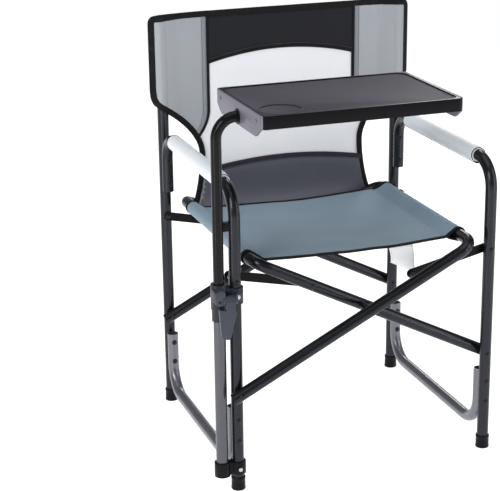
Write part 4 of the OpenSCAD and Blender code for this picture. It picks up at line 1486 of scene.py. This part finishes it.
class CHAIR_OT_button(bpy.types.Operator):
    """Turns the release button and winds its spring"""

    bl_idname = "chair.button"
    bl_label = "Release button"

    def execute(self, context):
        low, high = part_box("table_button")
        radius, long = (high.z - low.z) * 500, (high.x - low.x) * 1000
        origin = Vector((low.x, (low.y + high.y) / 2, (low.z + high.z) / 2))
        outline = [(0, 0), (radius - 0.6, 0), (radius, 0.6), (radius, long - 2.2), (radius - 0.4, long - 1.2)]
        outline += [(radius - 1.4, long - 0.35), (radius - 2.6, long), (radius - 3.2, long - 0.5), (0, long - 0.9)]
        bm = bmesh.new()
        turned(bm, outline, origin, (1, 0, 0), 48)
        piece("button_cap", bm, "button moulding", "button", ("table_button",))

        low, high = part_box("button_spring")
        radius, long = (high.z - low.z) * 500, high.x - low.x
        wire, turns, steps = 0.55, 6, 144
        origin = Vector((low.x + wire / 1000, (low.y + high.y) / 2, (low.z + high.z) / 2))
        bm = bmesh.new()
        made = bmesh.ops.create_circle(
            bm, segments=8, radius=wire / 1000,
            matrix=Matrix.Translation(origin + Vector((0, 0, (radius - wire) / 1000))) @ Matrix.Rotation(pi / 2, 4, "Y")
            @ Matrix.Rotation(pi / 2, 4, "X"),
        )["verts"]
        ring = list({e for v in made for e in v.link_edges})
        climb = (long - 2 * wire / 1000) / steps
        bmesh.ops.spin(
            bm, geom=made + ring, cent=origin, axis=(1, 0, 0), dvec=(climb, 0, 0), angle=2 * pi * turns, steps=steps
        )
        bmesh.ops.holes_fill(bm, edges=[e for e in bm.edges if e.is_boundary], sides=9)
        coil = piece("button_spring_wire", bm, "zinc steel", "pole", ("button_spring",))
        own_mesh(coil)
        return {"FINISHED"}


# ---- Stage ----


LIGHTS = (
    ("key box", (-2.6, -2.2, 2.6), (1.2, 1.8), 62),
    ("fill box", (2.9, -1.6, 1.9), (1.0, 2.2), 20),
    ("back strip", (1.6, 2.6, 2.2), (0.6, 2.4), 20),
    ("left strip", (-1.55, -0.75, 0.62), (0.12, 1.1), 4.5),
    ("right strip", (1.25, -1.35, 0.6), (0.12, 1.1), 4),
    ("overhead box", (0.0, -0.2, 3.2), (2.4, 2.4), 22),
)
VIEW_TURN, VIEW_TILT, VIEW_ROLL = -19.0, 18.2, -0.8
VIEW_AIM, VIEW_DISTANCE, VIEW_LENS = (-0.14165, 0.087, 0.4335), 3.4029, 111.0


class CHAIR_OT_stage(bpy.types.Operator):
    """Lays the pale floor, hangs the soft lights and sets up the camera"""

    bl_idname = "chair.stage"
    bl_label = "Stage"

    def execute(self, context):
        scene = context.scene
        bm = bmesh.new()
        bmesh.ops.create_grid(bm, x_segments=1, y_segments=1, size=30)
        mesh = bpy.data.meshes.new("floor")
        bm.to_mesh(mesh)
        bm.free()
        mesh.materials.append(finishes("floor"))
        floor = bpy.data.objects.new("floor", mesh)
        scene.collection.objects.link(floor)

        sky = bpy.data.worlds.new("soft room")
        scene.world = sky
        sky.use_nodes = True
        sky.node_tree.nodes["Background"].inputs["Color"].default_value = (0.97, 0.98, 1.0, 1)
        sky.node_tree.nodes["Background"].inputs["Strength"].default_value = 0.3

        aim = Vector((-0.05, 0.0, 0.5))
        for name, spot, size, power in LIGHTS:
            light = bpy.data.lights.new(name, "AREA")
            light.shape = "RECTANGLE"
            light.size, light.size_y = size
            light.energy = power
            lamp = bpy.data.objects.new(name, light)
            lamp.location = spot
            lamp.rotation_euler = (aim - Vector(spot)).to_track_quat("-Z", "Y").to_euler()
            scene.collection.objects.link(lamp)

        turn, tilt, roll = radians(VIEW_TURN), radians(VIEW_TILT), radians(VIEW_ROLL)
        back = Vector((sin(turn) * cos(tilt), -cos(turn) * cos(tilt), sin(tilt)))
        right = Vector((cos(turn), sin(turn), 0))
        up = back.cross(right)
        across = right * cos(roll) + up * sin(roll)
        upright = up * cos(roll) - right * sin(roll)
        place = Matrix((across, upright, back)).transposed().to_4x4()
        place.translation = Vector(VIEW_AIM) + back * VIEW_DISTANCE
        lens = bpy.data.cameras.new("view")
        lens.lens = VIEW_LENS
        lens.sensor_width = 36.0
        camera = bpy.data.objects.new("view", lens)
        camera.matrix_world = place
        scene.collection.objects.link(camera)
        scene.camera = camera
        scene.view_settings.view_transform = "Standard"
        return {"FINISHED"}


STEPS = (
    CHAIR_OT_stage,
    CHAIR_OT_tubes,
    CHAIR_OT_rivets,
    CHAIR_OT_feet,
    CHAIR_OT_arm_pads,
    CHAIR_OT_seat,
    CHAIR_OT_back_panels,
    CHAIR_OT_lumbar,
    CHAIR_OT_wings,
    CHAIR_OT_pole_holders,
    CHAIR_OT_table,
    CHAIR_OT_button,
)


class CHAIR_PT_build(bpy.types.Panel):
    """The chair's building steps and settings"""

    bl_idname = "CHAIR_PT_build"
    bl_label = "Director chair"
    bl_space_type = "VIEW_3D"
    bl_region_type = "UI"
    bl_category = "Chair"

    def draw(self, context):
        for settings in (context.scene.chair_sizes, context.scene.chair_colours):
            box = self.layout.box()
            for name in settings.__annotations__:
                box.prop(settings, name)
        column = self.layout.column(align=True)
        for step in STEPS:
            column.operator(step.bl_idname)


CLASSES = (ChairColours, ChairSizes) + STEPS + (CHAIR_PT_build,)


def register():
    for one in CLASSES:
        bpy.utils.register_class(one)
    bpy.types.Scene.chair_colours = bpy.props.PointerProperty(type=ChairColours)
    bpy.types.Scene.chair_sizes = bpy.props.PointerProperty(type=ChairSizes)


def unregister():
    del bpy.types.Scene.chair_sizes
    del bpy.types.Scene.chair_colours
    for one in reversed(CLASSES):
        bpy.utils.unregister_class(one)


def main():
    register()
    for step in STEPS:
        group, name = step.bl_idname.split(".")
        getattr(getattr(bpy.ops, group), name)()


if __name__ == "__main__":
    main()
